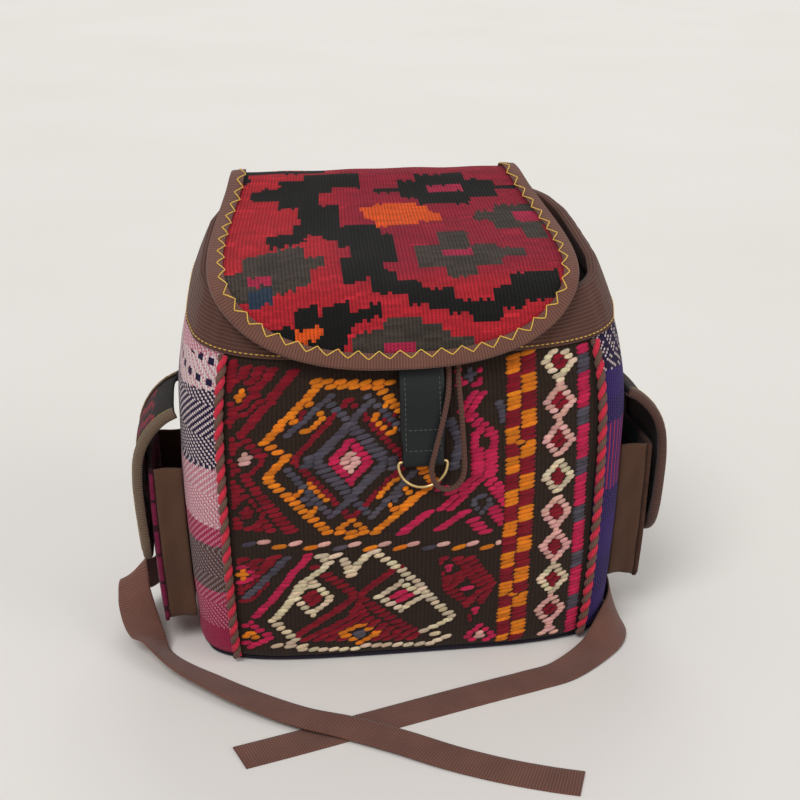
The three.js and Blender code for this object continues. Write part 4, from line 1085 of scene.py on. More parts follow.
def panel(name, stations, skin, swell, colour_of=None, rows=84):
    """Cloth over a stretch of the bag's round. A colour may be given for each height, row and column."""
    points, normals = wall_grid(stations, np.linspace(0, 1, rows), tops=CLOTH_TOPS)
    run = run_along(points[rows // 2])
    run -= run[-1] / 2
    relief = puff(run[None, :] + 90, points[..., 2], swell)
    tones = None
    if colour_of:
        middles = (points[:-1, :-1] + points[1:, 1:])[..., 2] / 2
        tones = np.array([[colour_of(z, i, j) for j, z in enumerate(row)] for i, row in enumerate(middles)])
    size = (run, points[:, points.shape[1] // 2, 2])
    return slab(name, points, normals, -KILIM, skin, relief=relief, colours=tones, size=size)


class Front(Operator):
    """Front panel: its ribbed ground and the raised wool stitches of its pattern"""

    bl_idname = "kilim_bag.front"
    bl_label = "Front panel"

    def execute(self, context):
        stations = [by_width(x, -1) for x in np.linspace(-SEAM + 0.002, SEAM - 0.002, 90)]
        ground = panel("front_ground", stations, PANEL_SKIN, 0.8)
        finish = tapestry("front_ground", 3.0, 1.5, 0.6, tone_of("ground"))
        finish_piece(ground, finish, stands_for=["front_panel"])
        finish_piece(front_stitches(), wool("stitch_wool"))
        return {"FINISHED"}


# Sides, back, base and lining


def side_cloth(side):
    """Colour of the side's weave: checks, twill diamonds and bands, each thread a small cell."""
    white, rose, pink = tint("e0cccb"), tint("cf8496"), tint("a8264f")
    purple, dark, brown = tone_of("purple"), tint("21143a"), tint("5a3c34")
    grey = tint("8d7f86")

    def left(z, i, j, twill):
        if z > 226:
            return rose if (i + j) % 3 else white
        if z > 204:
            return dark if (i // 3) % 3 == 0 and (j // 3) % 2 else (white if (i + j) % 4 else rose)
        if z > 150:
            return white if twill else dark
        if z > 92:
            return (white if twill else rose) if (i // 17) % 3 else (rose if twill else pink)
        if z > 56:
            return grey if twill else brown
        return (rose if twill else pink) if z > 26 else pink

    def right(z, i, j, twill):
        if z > 246:
            return purple if (i + j) % 5 else rose
        if z > 205:
            return white if twill and (i // 4 + j // 2) % 3 else dark
        if 118 < z < 168:
            return pink if j % 3 == 0 else purple
        return dark if twill and (i // 20) % 2 else purple

    field = left if side < 0 else right
    return lambda z, i, j: field(z, i, j, ((j + i) if (i // 14) % 2 else (j - i)) % 3 == 0)


class Sides(Operator):
    """Side panels of twill cloth and the twisted braids over the front seams"""

    bl_idname = "kilim_bag.sides"
    bl_label = "Sides and seam braids"

    def execute(self, context):
        finish = tapestry("side_twill", 2.3, 2.3, 0.35, streak=0.3)
        for hand, side in HANDS:
            ends = [by_width(side * (SEAM + 0.004), face) for face in (-1, 1)]
            stations = ends[:1] + side_round(side, 5)[1:-1] + ends[1:]
            grid, _ = wall_grid(stations, [0.5])
            spaced = self.spaced(stations, Line(grid[0], False, 4), 100)
            order = spaced if side > 0 else spaced[::-1]
            piece = panel(f"side_cloth_{hand}", order, -0.7, 0.6, side_cloth(side), 152)
            finish_piece(piece, finish, stands_for=[f"side_panel_{hand}"])
        yarn = wool("braid_wool", 2.2)
        for hand, side in HANDS:
            station = by_width(side * SEAM, -1)
            points, normals = wall_grid([station], np.linspace(0, 1, 12), CASING_HEIGHT + LAYER_GAP + 1)
            route = Line(points[:, 0] + normals[:, 0] * BRAID_OUT).spaced(150)
            piece = braid(f"seam_braid_twist_{hand}", route, (1, 0, 0), ("twist_red", "twist_brown"))
            finish_piece(piece, yarn, stands_for=[f"seam_braid_{hand}"])
        return {"FINISHED"}

    @staticmethod
    def spaced(stations, line, steps):
        """Stations at even steps of cloth round the side."""
        at = np.interp(np.linspace(0, line.length, steps + 1), line.run[::4], np.arange(len(stations)))
        sx, sy = (np.interp(at, np.arange(len(stations)), column) for column in zip(*stations))
        size = (np.abs(sx) ** CORNER + np.abs(sy) ** CORNER) ** (1 / CORNER)
        return list(zip(sx / size, sy / size))


STRAND_SIDES = 9
BRAID_OUT, BRAID_RADIUS, BRAID_OFFSET, BRAID_PITCH = 3.2, 2.0, 1.35, 15.0


def braid(name, route, first, tones):
    """Strands twisted round one another, each of its own colour."""
    across = carried(route, first)
    beside = np.cross(tangents(route), across)
    run = run_along(route)
    verts, faces, corners, shades = [], [], [], []
    for s, tone in enumerate(tones):
        turn = 2 * math.pi * (run / BRAID_PITCH + s / len(tones))
        sway = across * np.cos(turn)[:, None] + beside * np.sin(turn)[:, None]
        middle = route + BRAID_OFFSET * sway
        direct = tangents(middle)
        x = square_to(direct, across)
        y = np.cross(direct, x)
        skin = wrapped(len(route), STRAND_SIDES, run, range(STRAND_SIDES + 1), len(verts))
        faces += skin[0]
        corners += skin[1]
        shades += [tone_of(tone)] * len(skin[1])
        for i in range(len(route)):
            section = round_section(BRAID_RADIUS * (1 + 0.05 * math.sin(run[i] * 2.2 + s * 2)), STRAND_SIDES)
            verts += [middle[i] + a * x[i] + b * y[i] for a, b in section]
    return face_outwards(mesh_piece(name, verts, faces, corners, shades))


BASE_PROFILE = (
    (0.02, 3.9), (0.5, 3.9), (0.96, 3.9), (0.99, 3.4), (1, 2.4), (1, 1.4), (0.985, 0.5), (0.95, 0),
    (0.5, 0.3), (0.02, 0.3),
)


def shrunk(edge, profile):
    """Rings like an edge, each at a share of its size and at a height."""
    rings = np.array([edge * share for share, _ in profile])
    rings[..., 2] = np.array([z for _, z in profile])[:, None]
    return rings


class BackAndMouth(Operator):
    """Back panel, base, lining and the ribbed casing round the mouth"""

    bl_idname = "kilim_bag.back_and_mouth"
    bl_label = "Back, base, lining and mouth"

    def execute(self, context):
        stations = [by_width(x, 1) for x in np.linspace(SEAM - 0.002, -SEAM + 0.002, 80)]
        back = panel("back_cloth_panel", stations, -0.9, 0.8, rows=90)
        cloth = canvas("back_canvas", tint("4a3027"), 1.6)
        finish_piece(back, cloth, stands_for=["back_panel"])
        self.base()
        self.lining()
        self.casing()
        self.casing_stitches()
        return {"FINISHED"}

    def base(self):
        sx, sy = (np.array(c) for c in zip(*whole_round(3)))
        rings = shrunk(wall(sx, sy, FOOT / 2, -KILIM / 2), BASE_PROFILE)
        verts = np.concatenate(rings)
        levels, count = rings.shape[:2]
        faces, _ = wrapped(levels, count, range(levels), range(count + 1))
        corners = [tuple(verts[v][:2]) for face in faces for v in face]
        piece = face_outwards(mesh_piece("base_cloth_slab", verts, faces, corners))
        cloth = canvas("base_canvas", tint("1d1626"), 1.8)
        finish_piece(piece, cloth, stands_for=["base_panel"])

    def lining(self):
        points, normals = wall_grid(whole_round(3), np.linspace(0, 1, 36), tops=CLOTH_TOPS)
        points[0, :, 2] += 1.4
        points, normals = points[:, ::-1], normals[:, ::-1]
        relief = puff(points[..., 0], points[..., 2], 0.4) * 0.4
        piece = slab("lining_cloth", points, normals, -5.1, -3.9, relief=relief, wrap=True)
        cloth = canvas("lining_canvas", tint("3a2a22"), 1.2)
        finish_piece(piece, cloth, stands_for=["lining"])
        bottom = shrunk(points[0], [(share, WALL_FOOT + 0.7) for share in (0.02, 0.4, 0.8, 0.955)])
        upright = np.tile((0.0, 0.0, 1.0), bottom.shape[:2] + (1,))
        piece = slab("lining_floor", bottom, upright, -0.6, 0.6, wrap=True)
        finish_piece(piece, canvas("lining_floor_canvas", tint("3a2a22"), 1.2))

    @staticmethod
    def casing_round():
        """Stations of the casing, from one side of the drawstring's exit round to the other."""
        rim_width = float(width_at(RIM_FRONT))
        gap = [(CORD_EXIT_X + half) / rim_width for half in (-8.5, 8.5)]
        left = [by_width(x, -1) for x in np.linspace(gap[0], -SEAM, 40)]
        right = [by_width(x, -1) for x in np.linspace(SEAM, gap[1], 26)]
        back = [by_width(-x, 1) for x in np.linspace(SEAM, -SEAM, 66)]
        return left + side_round(-1, 4)[1:-1] + back + side_round(1, 4)[::-1][1:-1] + right

    def casing(self):
        """Band folded over the rim, a little gathered between its edges."""
        sx, sy = (np.array(c) for c in zip(*self.casing_round()))
        rim = rim_at(sy)
        back = -(KILIM + 2 * LAYER_GAP + 2 * BAND)
        profile = [(CASING_OUT, d) for d in np.linspace(CASING_HEIGHT, 2.2, 16)]
        profile += [(CASING_OUT - 0.6, 0.7), (CASING_OUT - 2.0, 0.05), (-2.5, 0.0)]
        profile += [(back + 1.8, 0.05), (back + 0.5, 0.7)]
        profile += [(back, d) for d in np.linspace(2.2, CASING_HEIGHT, 12)]
        run = np.arange(len(sx)) * 3.1
        gather = 0.28 * np.sin(run / 4.1 + 0.8 * np.sin(run / 19)) + 0.2 * np.sin(run / 2.6 + 1)
        outer, inner = [], []
        for out, drop in profile:
            tuck = 0.15 + 0.85 * math.sin(math.pi * min(drop, CASING_HEIGHT) / CASING_HEIGHT) ** 0.7
            swell = gather * tuck * (1 if out > 0 else 0.3 if drop > 1 else 0) - 0.3 * tuck
            core, core_drop = out, 1.4
            if out > 0 or out < -4:
                core, core_drop = out - math.copysign(BAND, out), max(drop, 1.6)
            outer.append(wall(sx, sy, rim - drop, out + swell))
            inner.append(wall(sx, sy, rim - core_drop, core + swell))
        outer, inner = np.array(outer), np.array(inner)
        piece = layered("mouth_band", outer, inner, run_along(outer[8]), run_along(outer[:, 3]))
        ribs = ribbed("mouth_ribs", tint("5e3c32"), 2.6, along="v", depth=0.5)
        finish_piece(piece, ribs, stands_for=["mouth_casing"])

    def casing_stitches(self):
        """Running stitches along the casing's lower edge."""
        sx, sy = (np.array(c) for c in zip(*self.casing_round()))
        route = Line(wall(sx, sy, rim_at(sy) - CASING_HEIGHT + 2.2, CASING_OUT + 0.1), fine=3)
        places = np.arange(2, route.length - 3, 3.6)
        piece = thread_dashes("mouth_stitches", [(route.at(p), route.at(p + 2.4)) for p in places], 0.36)
        finish_piece(piece, thread_finish("mouth_thread", tone_of("thread")))


DASH_RINGS = ((0, 0.45), (0.25, 1), (0.75, 1), (1, 0.45))
DASH_SIDES = 6


def thread_dashes(name, pairs, radius):
    """Short stitches of thread, each a small spindle."""
    verts, faces = [], []
    for start, end in pairs:
        start, end = np.asarray(start, float), np.asarray(end, float)
        along = unit(end - start)
        across = unit(np.cross(along, (0.3, 0.4, 1.0)))
        up = np.cross(along, across)
        rings = len(DASH_RINGS)
        faces += wrapped(rings, DASH_SIDES, range(rings), range(DASH_SIDES + 1), len(verts))[0]
        for share, size in DASH_RINGS:
            middle = start + (end - start) * share
            verts += [middle + x * across + y * up for x, y in round_section(radius * size, DASH_SIDES)]
    return face_outwards(mesh_piece(name, verts, faces))


# Flap

FLAP_BACK, FLAP_FRONT = 200.0, 246.0
FLAP_LENGTH, FLAP_SIDE = 224.0, 148.0
FLAP_SHIFT, FLAP_CURL, FLAP_DROOP, FLAP_LIFT = -8.0, 7.0, 0.8, 6.0
FLAP_POWER = 2.4
BINDING_WIDTH = 9.0
FLAP_TOP = BAND + LAYER_GAP + KILIM
FLAP_CELL = (2.6, 2.2)
RIBBON_ROOM, RIBBON_THICK, RIBBON_FOLD = 0.25, 1.15, 0.9


def smooth(value, low, high):
    t = np.clip((np.asarray(value, float) - low) / (high - low), 0, 1)
    return t * t * (3 - 2 * t)


def flap_profile():
    """Middle line of the flap: up the back, over the mouth and down the front."""
    front, back = float(front_at(RIM_FRONT)), float(back_at(RIM_BACK))
    plane = lambda y: RIM_FRONT + (RIM_BACK - RIM_FRONT) * (y + front) / (back + front)
    points = []
    for drop, room in ((28, 0), (14, 0.5), (3, 2)):
        points.append((float(back_at(RIM_BACK - drop)) + 2 + room, RIM_BACK - drop))
    points.append((back + 2, RIM_BACK + 4.5))
    for share, room in ((0.94, 2), (0.78, 1.5), (0.55, 1), (0.32, 2), (0.145, 2.5), (0.003, -0.5)):
        y = -front + (back + front) * share
        points.append((y, plane(y) + FLAP_LIFT + room))
    for drop, room in ((7, 6.2), (19, 7), (32, 7.2), (47, 7.6)):
        points.append((-(float(front_at(RIM_FRONT - drop)) + 1.6 + room), RIM_FRONT - drop))
    return Line([(0, y, z) for y, z in points])


FLAP_LINE = flap_profile()


def flap_at(across, along):
    across, along = np.broadcast_arrays(np.asarray(across, float), np.asarray(along, float))
    point = FLAP_LINE.at(along)
    reach = across / (FLAP_FRONT / 2)
    point[..., 0] = across + FLAP_SHIFT
    point[..., 1] += smooth(along, 150, 200) * FLAP_CURL * reach**4
    point[..., 2] -= smooth(along, 20, 50) * FLAP_DROOP * reach**2
    return point


def flap_half_width(along):
    return FLAP_BACK / 2 + (FLAP_FRONT - FLAP_BACK) / 2 * smooth(along, 10, FLAP_SIDE)


def apron_edge(shape, step=2.0):
    """Edge of an apron: down one side, round its end and up the other side, as (across, along).

    Its shape is its half width along, the length of its straight sides, its full length and the
    power of its rounded end.
    """
    half_width, side_length, full_length, power = shape
    down = [(-float(half_width(a)), a) for a in np.linspace(0, side_length, 60)]
    around = []
    for turn in np.linspace(-math.pi / 2, math.pi / 2, 121)[1:-1]:
        share = math.copysign(abs(math.sin(turn)) ** (2 / power), turn)
        along = side_length + (full_length - side_length) * math.cos(turn) ** (2 / power)
        around.append((share * float(half_width(along)), along))
    edge = np.array([(x, a, 0.0) for x, a in down + around + [(-x, a) for x, a in reversed(down)]])
    line = Line(edge, False, 2)
    return line.spaced(int(line.length / step))[:, :2]


def inward_from(edge):
    """Directions from an apron's edge into it."""
    direct = np.gradient(edge, axis=0)
    inward = unit(np.stack([direct[:, 1], -direct[:, 0]], axis=1))
    return inward if inward[0, 0] > 0 else -inward


def even(half):
    """Half width that is the same all along."""
    return lambda along: np.full(np.shape(along), half)


def above(surface, across, along, height):
    """Points a height above a surface that is measured across and along its cloth."""
    here = surface(across, along)
    sideways = surface(across + 0.1, along) - surface(across - 0.1, along)
    onward = surface(across, along + 0.1) - surface(across, along - 0.1)
    return here + unit(np.cross(onward, sideways)) * np.asarray(height)[..., None]


def apron_cloth(name, surface, shape, layers, cell, relief=None, colour=None, trim=1.0):
    """Sheet with a rounded far end, cut from a grid on its surface."""
    half_width, side_length, full_length, power = shape
    widest = float(np.max(half_width(np.linspace(0, full_length, 40))))
    columns = int(2 * widest / cell[0])
    rows = int(full_length / cell[1])
    shares = np.linspace(-1, 1, columns + 1)
    along = np.linspace(0, full_length, rows + 1)
    across = shares[None, :] * (half_width(along)[:, None] - trim)
    grid_along = np.broadcast_to(along[:, None], across.shape)
    points = surface(across, grid_along)
    normals = above(surface, across, grid_along, np.ones(across.shape)) - points
    middle_share = (shares[:-1] + shares[1:]) / 2
    middle_along = (along[:-1] + along[1:]) / 2
    end = np.clip((middle_along - side_length) / (full_length - trim - side_length), 0, None)
    keep = np.abs(middle_share[None, :]) ** power + end[:, None] ** power < 1
    tones, lift = None, None
    if colour:
        middles = (across[:-1, :-1] + across[1:, 1:]) / 2
        tones = np.array([[colour(x, a) for x in row] for row, a in zip(middles, middle_along)])[::-1]
    if relief:
        lift = relief(across, grid_along)[::-1]
    size = (shares * widest, full_length - along[::-1])
    return slab(name, points[::-1], normals[::-1], *layers, keep[::-1], lift, tones, size)


def edging(name, surface, edge, high, width, flare=0.0):
    """Ribbon folded over an apron's edge: its under side, its fold and its upper side."""
    middle, half = high / 2, high / 2 + RIBBON_ROOM

    def side(thick, lift):
        turns = np.linspace(0, math.pi, 9)
        fold = [(-math.sin(t) * (RIBBON_FOLD + thick), middle - (half + thick) * math.cos(t)) for t in turns]
        under, over = -RIBBON_ROOM - thick, high + RIBBON_ROOM + thick
        ends = [(width * 0.5, over + flare * lift), (width, over + flare)]
        return [(width, under), (width * 0.5, under)] + fold + ends

    inner = side(0, 0.5)
    section = np.array(inner + side(RIBBON_THICK, 0.6)[::-1])
    inward = inward_from(edge)
    rows = []
    for inset, height in section:
        at = edge + inward * inset
        rows.append(above(surface, at[:, 0], at[:, 1], np.full(len(edge), height)))
    rings = np.array(rows).transpose(1, 0, 2)
    girth = run_along(np.vstack([section, section[:1]]))
    skin = wrapped(*rings.shape[:2], run_along(rings[:, len(inner)]), girth, folded=True)
    return face_outwards(mesh_piece(name, rings.reshape(-1, 3), *skin))


def zigzag(name, surface, edge, height, inset, swing, pitch, radius=0.42):
    """Raised zigzag of thread that follows an edge."""
    inward = inward_from(edge)
    run = run_along(above(surface, edge[:, 0], edge[:, 1], np.zeros(len(edge))))
    draw = random.Random(5)
    wander = 0.0
    spots = []
    for p in np.arange(2, run[-1] - 2, pitch / 8):
        wander = 0.85 * wander + draw.uniform(-0.25, 0.25)
        out = swing * (4 * abs((p / pitch) % 1 - 0.5) - 1) + wander
        at, to = (np.array([np.interp(p, run, way[:, k]) for k in range(2)]) for way in (edge, inward))
        spot = at + to * (inset + out)
        spots.append(above(surface, spot[0], spot[1], np.array(height - 0.25 * max(out, 0))))
    route = np.array(spots)
    return tube(name, route, carried(route, (0, 0, 1)), round_section(radius, 6))


def flap_lean(across, along):
    """How far the weft lies from square, so that it climbs to the right."""
    left = 0.28 * np.minimum(across + 20, 0) * np.clip((along - 90) / 60, 0, 1)
    return left + 0.12 * np.maximum(across - 50, 0) * np.clip((along - 130) / 50, 0, 1)


FLAP_BLACK = (
    (-100, -36, 36, 42), (-104, -90, 42, 52), (-92, -70, 62, 72), (-84, -54, 58, 68), (-70, -34, 50, 66),
    (-52, -12, 44, 60), (-72, -44, 66, 82), (-60, -30, 80, 103), (-82, -58, 108, 117), (-64, -30, 100, 112),
    (-46, -6, 104, 118), (-37, 2, 116, 128), (-28, 2, 126, 150), (-37, -8, 139, 164), (-18, 0, 158, 176),
    (-14, 16, 168, 178), (5, 36, 174, 186), (17, 60, 183, 190), (32, 66, 186, 192), (46, 68, 190, 199),
    (62, 80, 177, 192), (76, 108, 166, 190), (12, 84, 54, 74), (26, 62, 47, 82), (-6, 14, 62, 67),
    (82, 100, 62, 66), (-70, -54, 172, 184), (-90, -44, 181, 198), (-82, -36, 186, 205),
    (-52, -34, 176, 198), (-36, -14, 184, 193), (-70, -52, 198, 212),
)
FLAP_GREY = (
    (16, 72, 130, 156), (35, 54, 115, 130), (34, 54, 151, 166), (70, 92, 138, 148), (77, 110, 84, 104),
    (62, 78, 92, 102), (76, 94, 101, 112), (94, 108, 106, 126), (-118, -78, 130, 156),
    (-102, -60, 120, 146), (-82, -58, 141, 157), (-66, -48, 133, 144), (-34, 20, 200, 222),
    (-14, 12, 194, 207), (-18, 30, 203, 224), (5, 26, 198, 214), (26, 48, 207, 217),
)
FLAP_ORANGE = ((-16, 32, 84, 98), (-8, 24, 80, 106), (24, 38, 92, 102), (-70, -52, 186, 194))
FLAP_CRIMSON = (
    (34, 60, 60, 68), (34, 54, 137, 145), (92, 108, 93, 104), (-98, -82, 138, 146), (-12, 9, 209, 216),
)


def flap_colour(across, along):
    """Colour of one small block of the flap's weave."""
    wide, tall = FLAP_CELL
    column, row = math.floor(across / wide), math.floor((along + flap_lean(across, along)) / tall)
    x, a = (column + 0.5) * wide, (row + 0.5) * tall
    a += 1.1 * math.sin(column * 1.7) * ((row + column) % 3 - 1)
    inside = lambda boxes: any(left <= x <= right and low <= a <= high for left, right, low, high in boxes)
    draw = random.Random(row * 331 + column // 5)
    shade = draw.uniform(0.86, 1.12)
    if inside(FLAP_CRIMSON):
        tone = tint("b4264a")
    elif inside(FLAP_ORANGE):
        tone = tone_of("flap_orange")
    elif inside(FLAP_BLACK):
        tone, shade = tone_of("flap_black"), draw.uniform(0.8, 1.3)
    elif -98 <= x <= -84 and 150 <= a <= 162:
        tone = tint("2c3a4e")
    elif inside(FLAP_GREY):
        tone, shade = tone_of("flap_grey"), draw.uniform(0.75, 1.3)
    else:
        wine = float(smooth(x, -60, -10)) * (1 - float(smooth(a, 150, 178)))
        red, deep = tone_of("flap_red"), tone_of("flap_wine")
        tone = [r + (d - r) * wine for r, d in zip(red, deep)]
        if draw.random() < 0.06:
            shade *= 1.3
    return [c * shade for c in tone[:3]] + [1.0]


class Flap(Operator):
    """Flap: its kilim, lining, ribbon edging and zigzag thread"""

    bl_idname = "kilim_bag.flap"
    bl_label = "Flap"

    def execute(self, context):
        shape = (flap_half_width, FLAP_SIDE, FLAP_LENGTH, FLAP_POWER)
        edge = apron_edge(shape)

        def lumps(x, a):
            return 0.35 * np.sin(x / 17 + 1) * np.sin(a / 14) + 0.25 * np.sin(x / 7.3 + a / 9.1) - 0.5

        layers = (BAND + LAYER_GAP, FLAP_TOP)
        kilim = apron_cloth("flap_kilim_cloth", flap_at, shape, layers, FLAP_CELL, lumps, flap_colour)
        weave = tapestry("flap_weave", 2.6, 1.9, 0.8, streak=0.35)
        finish_piece(kilim, weave, stands_for=["flap"])
        lining = apron_cloth("flap_lining_cloth", flap_at, shape, (0, BAND), (5, 4))
        cloth = canvas("flap_canvas", tint("33241d"), 1.2)
        finish_piece(lining, cloth, stands_for=["flap_lining"])
        ribbon = edging("flap_ribbon", flap_at, edge, FLAP_TOP, BINDING_WIDTH, 0.5)
        ribs = ribbed("flap_ribbon_ribs", tone_of("binding"), 1.9, worn=0.3)
        finish_piece(ribbon, ribs, stands_for=["flap_binding"])
        pitch = sizes().zigzag
        thread = zigzag("flap_zigzag", flap_at, edge, FLAP_TOP + 2.0, BINDING_WIDTH - 1.6, 2.7, pitch)
        finish_piece(thread, thread_finish("golden_thread", tone_of("thread")))
        return {"FINISHED"}


# Closure

TAB_X, TAB_WIDTH = 4.0, 30.0
RING_Z = RIM_FRONT - 101.0
RING_Y = -(float(front_at(RING_Z)) + LAYER_GAP + 3.55)
WIRE = 1.05
RING_REACH, RING_CORNER = 16.55, 2.0
STRAP_SIDE, STRAP_TOP_SIDE = 11.6, 1.05
SNAP_Z = RIM_FRONT - 61.0
SNAP_ROOM = 5.6


def tab_route():
    ahead = lambda z, room: (0, -(float(front_at(z)) + room), z)
    foot = RIM_FRONT - CASING_HEIGHT
    points = [
        ahead(RIM_FRONT - 21, CASING_OUT + 3.4), ahead(foot + 1, CASING_OUT + 1.7),
        ahead(foot - 8, CASING_OUT + 2.4), ahead(SNAP_Z + 12, SNAP_ROOM + 0.1),
        ahead(SNAP_Z, SNAP_ROOM + 0.1), ahead(SNAP_Z - 20, SNAP_ROOM - 0.6),
    ]
    fold = (
        (-1.1, 10), (-2.3, 4), (-2.5, 0), (-1.7, -1.9), (0, -2.6), (1.7, -1.9), (2.4, 0), (1.9, 4),
        (1.1, 10), (1.4, 18),
    )
    return Line(points + [(0, RING_Y + y, RING_Z + z) for y, z in fold])


def begin_shape():
    bpy.ops.object.select_all(action="DESELECT")


def finish_shape(piece, name, degrees):
    """Ends edit mode, puts the piece's place in its mesh and smooths its rounds."""
    if bpy.context.mode != "OBJECT":
        bpy.ops.object.mode_set(mode="OBJECT")
    piece.name = name
    piece.data.name = name
    bpy.ops.object.transform_apply(location=True, rotation=True, scale=True)
    bpy.ops.object.shade_smooth_by_angle(angle=math.radians(degrees))
    return piece


def select_where(piece, kind, test):
    """Selects the vertices or faces whose middle passes a test, in edit mode."""
    bpy.ops.mesh.select_all(action="DESELECT")
    bpy.ops.mesh.select_mode(type=kind)
    shape = bmesh.from_edit_mesh(piece.data)
    for part in shape.verts if kind == "VERT" else shape.faces:
        if test(part.co if kind == "VERT" else part.calc_center_median()):
            part.select_set(True)
    shape.select_flush_mode()
    bmesh.update_edit_mesh(piece.data)


class Closure(Operator):
    """Leather tab with its fold and stitching, the D-ring and the two snap halves"""

    bl_idname = "kilim_bag.closure"
    bl_label = "Tab, ring and snap"

    def execute(self, context):
        route = tab_route()
        points = route.spaced(110)
        points[:, 0] = TAB_X
        across = np.tile((1.0, 0.0, 0.0), (len(points), 1))
        narrow = lambda share: 1 - 0.09 * float(smooth(share, 0.54, 0.68))
        section = lambda share: strip_section((TAB_WIDTH - 0.8) * narrow(share), 1.9, 10, -0.25)
        strap = tube("closure_strap", points, across, section)
        leather = hide("black_leather", tone_of("leather"))
        finish_piece(strap, leather, stands_for=["closure_tab"])
        self.stitches(route)
        self.ring()
        for half, dull in (("snap_socket", 0.3), ("snap_stud", 0.25)):
            bpy.data.objects[half].material_slots[0].material = metal(half + "_plate", tint("c0c0ba"), dull)
        return {"FINISHED"}

    def stitches(self, route):
        """Two seams along the tab, and two across it, on its outer side."""
        pairs = []
        for side in (-STRAP_SIDE, STRAP_SIDE):
            for place in np.arange(24, 74, 3.4):
                pairs.append([(side, route.at(place)), (side, route.at(place + 2.3))])
        for height in (60, 74):
            for x in np.arange(-10, 9, 3.4):
                pairs.append([(x + 0.3, route.at(height)), (x + 2.6, route.at(height))])
        ends = [[at * (0, 1, 1) + (TAB_X + x, -STRAP_TOP_SIDE, 0) for x, at in pair] for pair in pairs]
        piece = thread_dashes("tab_stitches", ends, 0.34)
        finish_piece(piece, thread_finish("dark_thread", tint("4a4a46")))

    def ring(self):
        """D-ring: a wire section drawn along the bar, turned at its corners and round its bow."""
        begin_shape()
        flat, corner = (RING_REACH - RING_CORNER) * MM, RING_CORNER * MM
        at = Vector((TAB_X, RING_Y, RING_Z)) * MM
        start = at - Vector((flat, 0, 0))
        turned = (0, math.pi / 2, 0)
        bpy.ops.mesh.primitive_circle_add(vertices=14, radius=WIRE * MM, location=start, rotation=turned)
        piece = bpy.context.object
        bpy.ops.object.transform_apply(location=True, rotation=True, scale=True)
        bpy.ops.object.mode_set(mode="EDIT")
        bpy.ops.mesh.select_all(action="SELECT")
        bpy.ops.mesh.extrude_region_move(TRANSFORM_OT_translate={"value": (2 * flat, 0, 0)})
        for x, angle, steps in ((flat, math.pi / 2, 6), (0, math.pi, 40), (-flat, math.pi / 2, 6)):
            centre = at + Vector((x, 0, -corner))
            bpy.ops.mesh.spin(steps=steps, angle=-angle, center=centre, axis=(0, 1, 0), use_auto_merge=False)
        bpy.ops.mesh.select_all(action="SELECT")
        bpy.ops.mesh.remove_doubles(threshold=0.00002)
        bpy.ops.mesh.normals_make_consistent(inside=False)
        finish_shape(piece, "d_ring_wire", 60)
        finish_piece(piece, metal("plated_brass", tone_of("brass")), "ring", ["d_ring"])


# Side pockets

POCKET_TOP, POCKET_CENTRE, POCKET_HALF = 138.0, 2.0, 40.0
POCKET_FLOORS = {"left": 17.0, "right": 29.0}
POCKET_OUT, POCKET_CORNER = 20.0, 16.0
POCKET_FLAP_TOP, POCKET_FLAP_LENGTH, POCKET_FLAP_SIDE, POCKET_FLAP_HALF = 178.0, 128.0, 92.0, 42.0
POCKET_FLAP_CLOTH = 3.2
POCKET_POWER, POCKET_FLAP_POWER = 4.0, 2.2
POCKET_EDGE_STEP = 2.5


def side_point(side, y, z, out):
    y, z, out = np.broadcast_arrays(np.asarray(y, float), np.asarray(z, float), np.asarray(out, float))
    front, back = front_at(z), back_at(z)
    share = (y - (back - front) / 2) / ((front + back) / 2)
    return np.stack([side * (width_at(z) * other_share(share) + out), y, z], axis=-1)


def pocket_hang():
    hang = ((2.3, 0), (10, 4), (20, 14), (27.03, 28), (29.5, 46), (29.5, 68), (28.55, 94), (27.6, 120))
    return Line([(out, 0, POCKET_FLAP_TOP - drop) for out, drop in hang])


POCKET_HANG = pocket_hang()


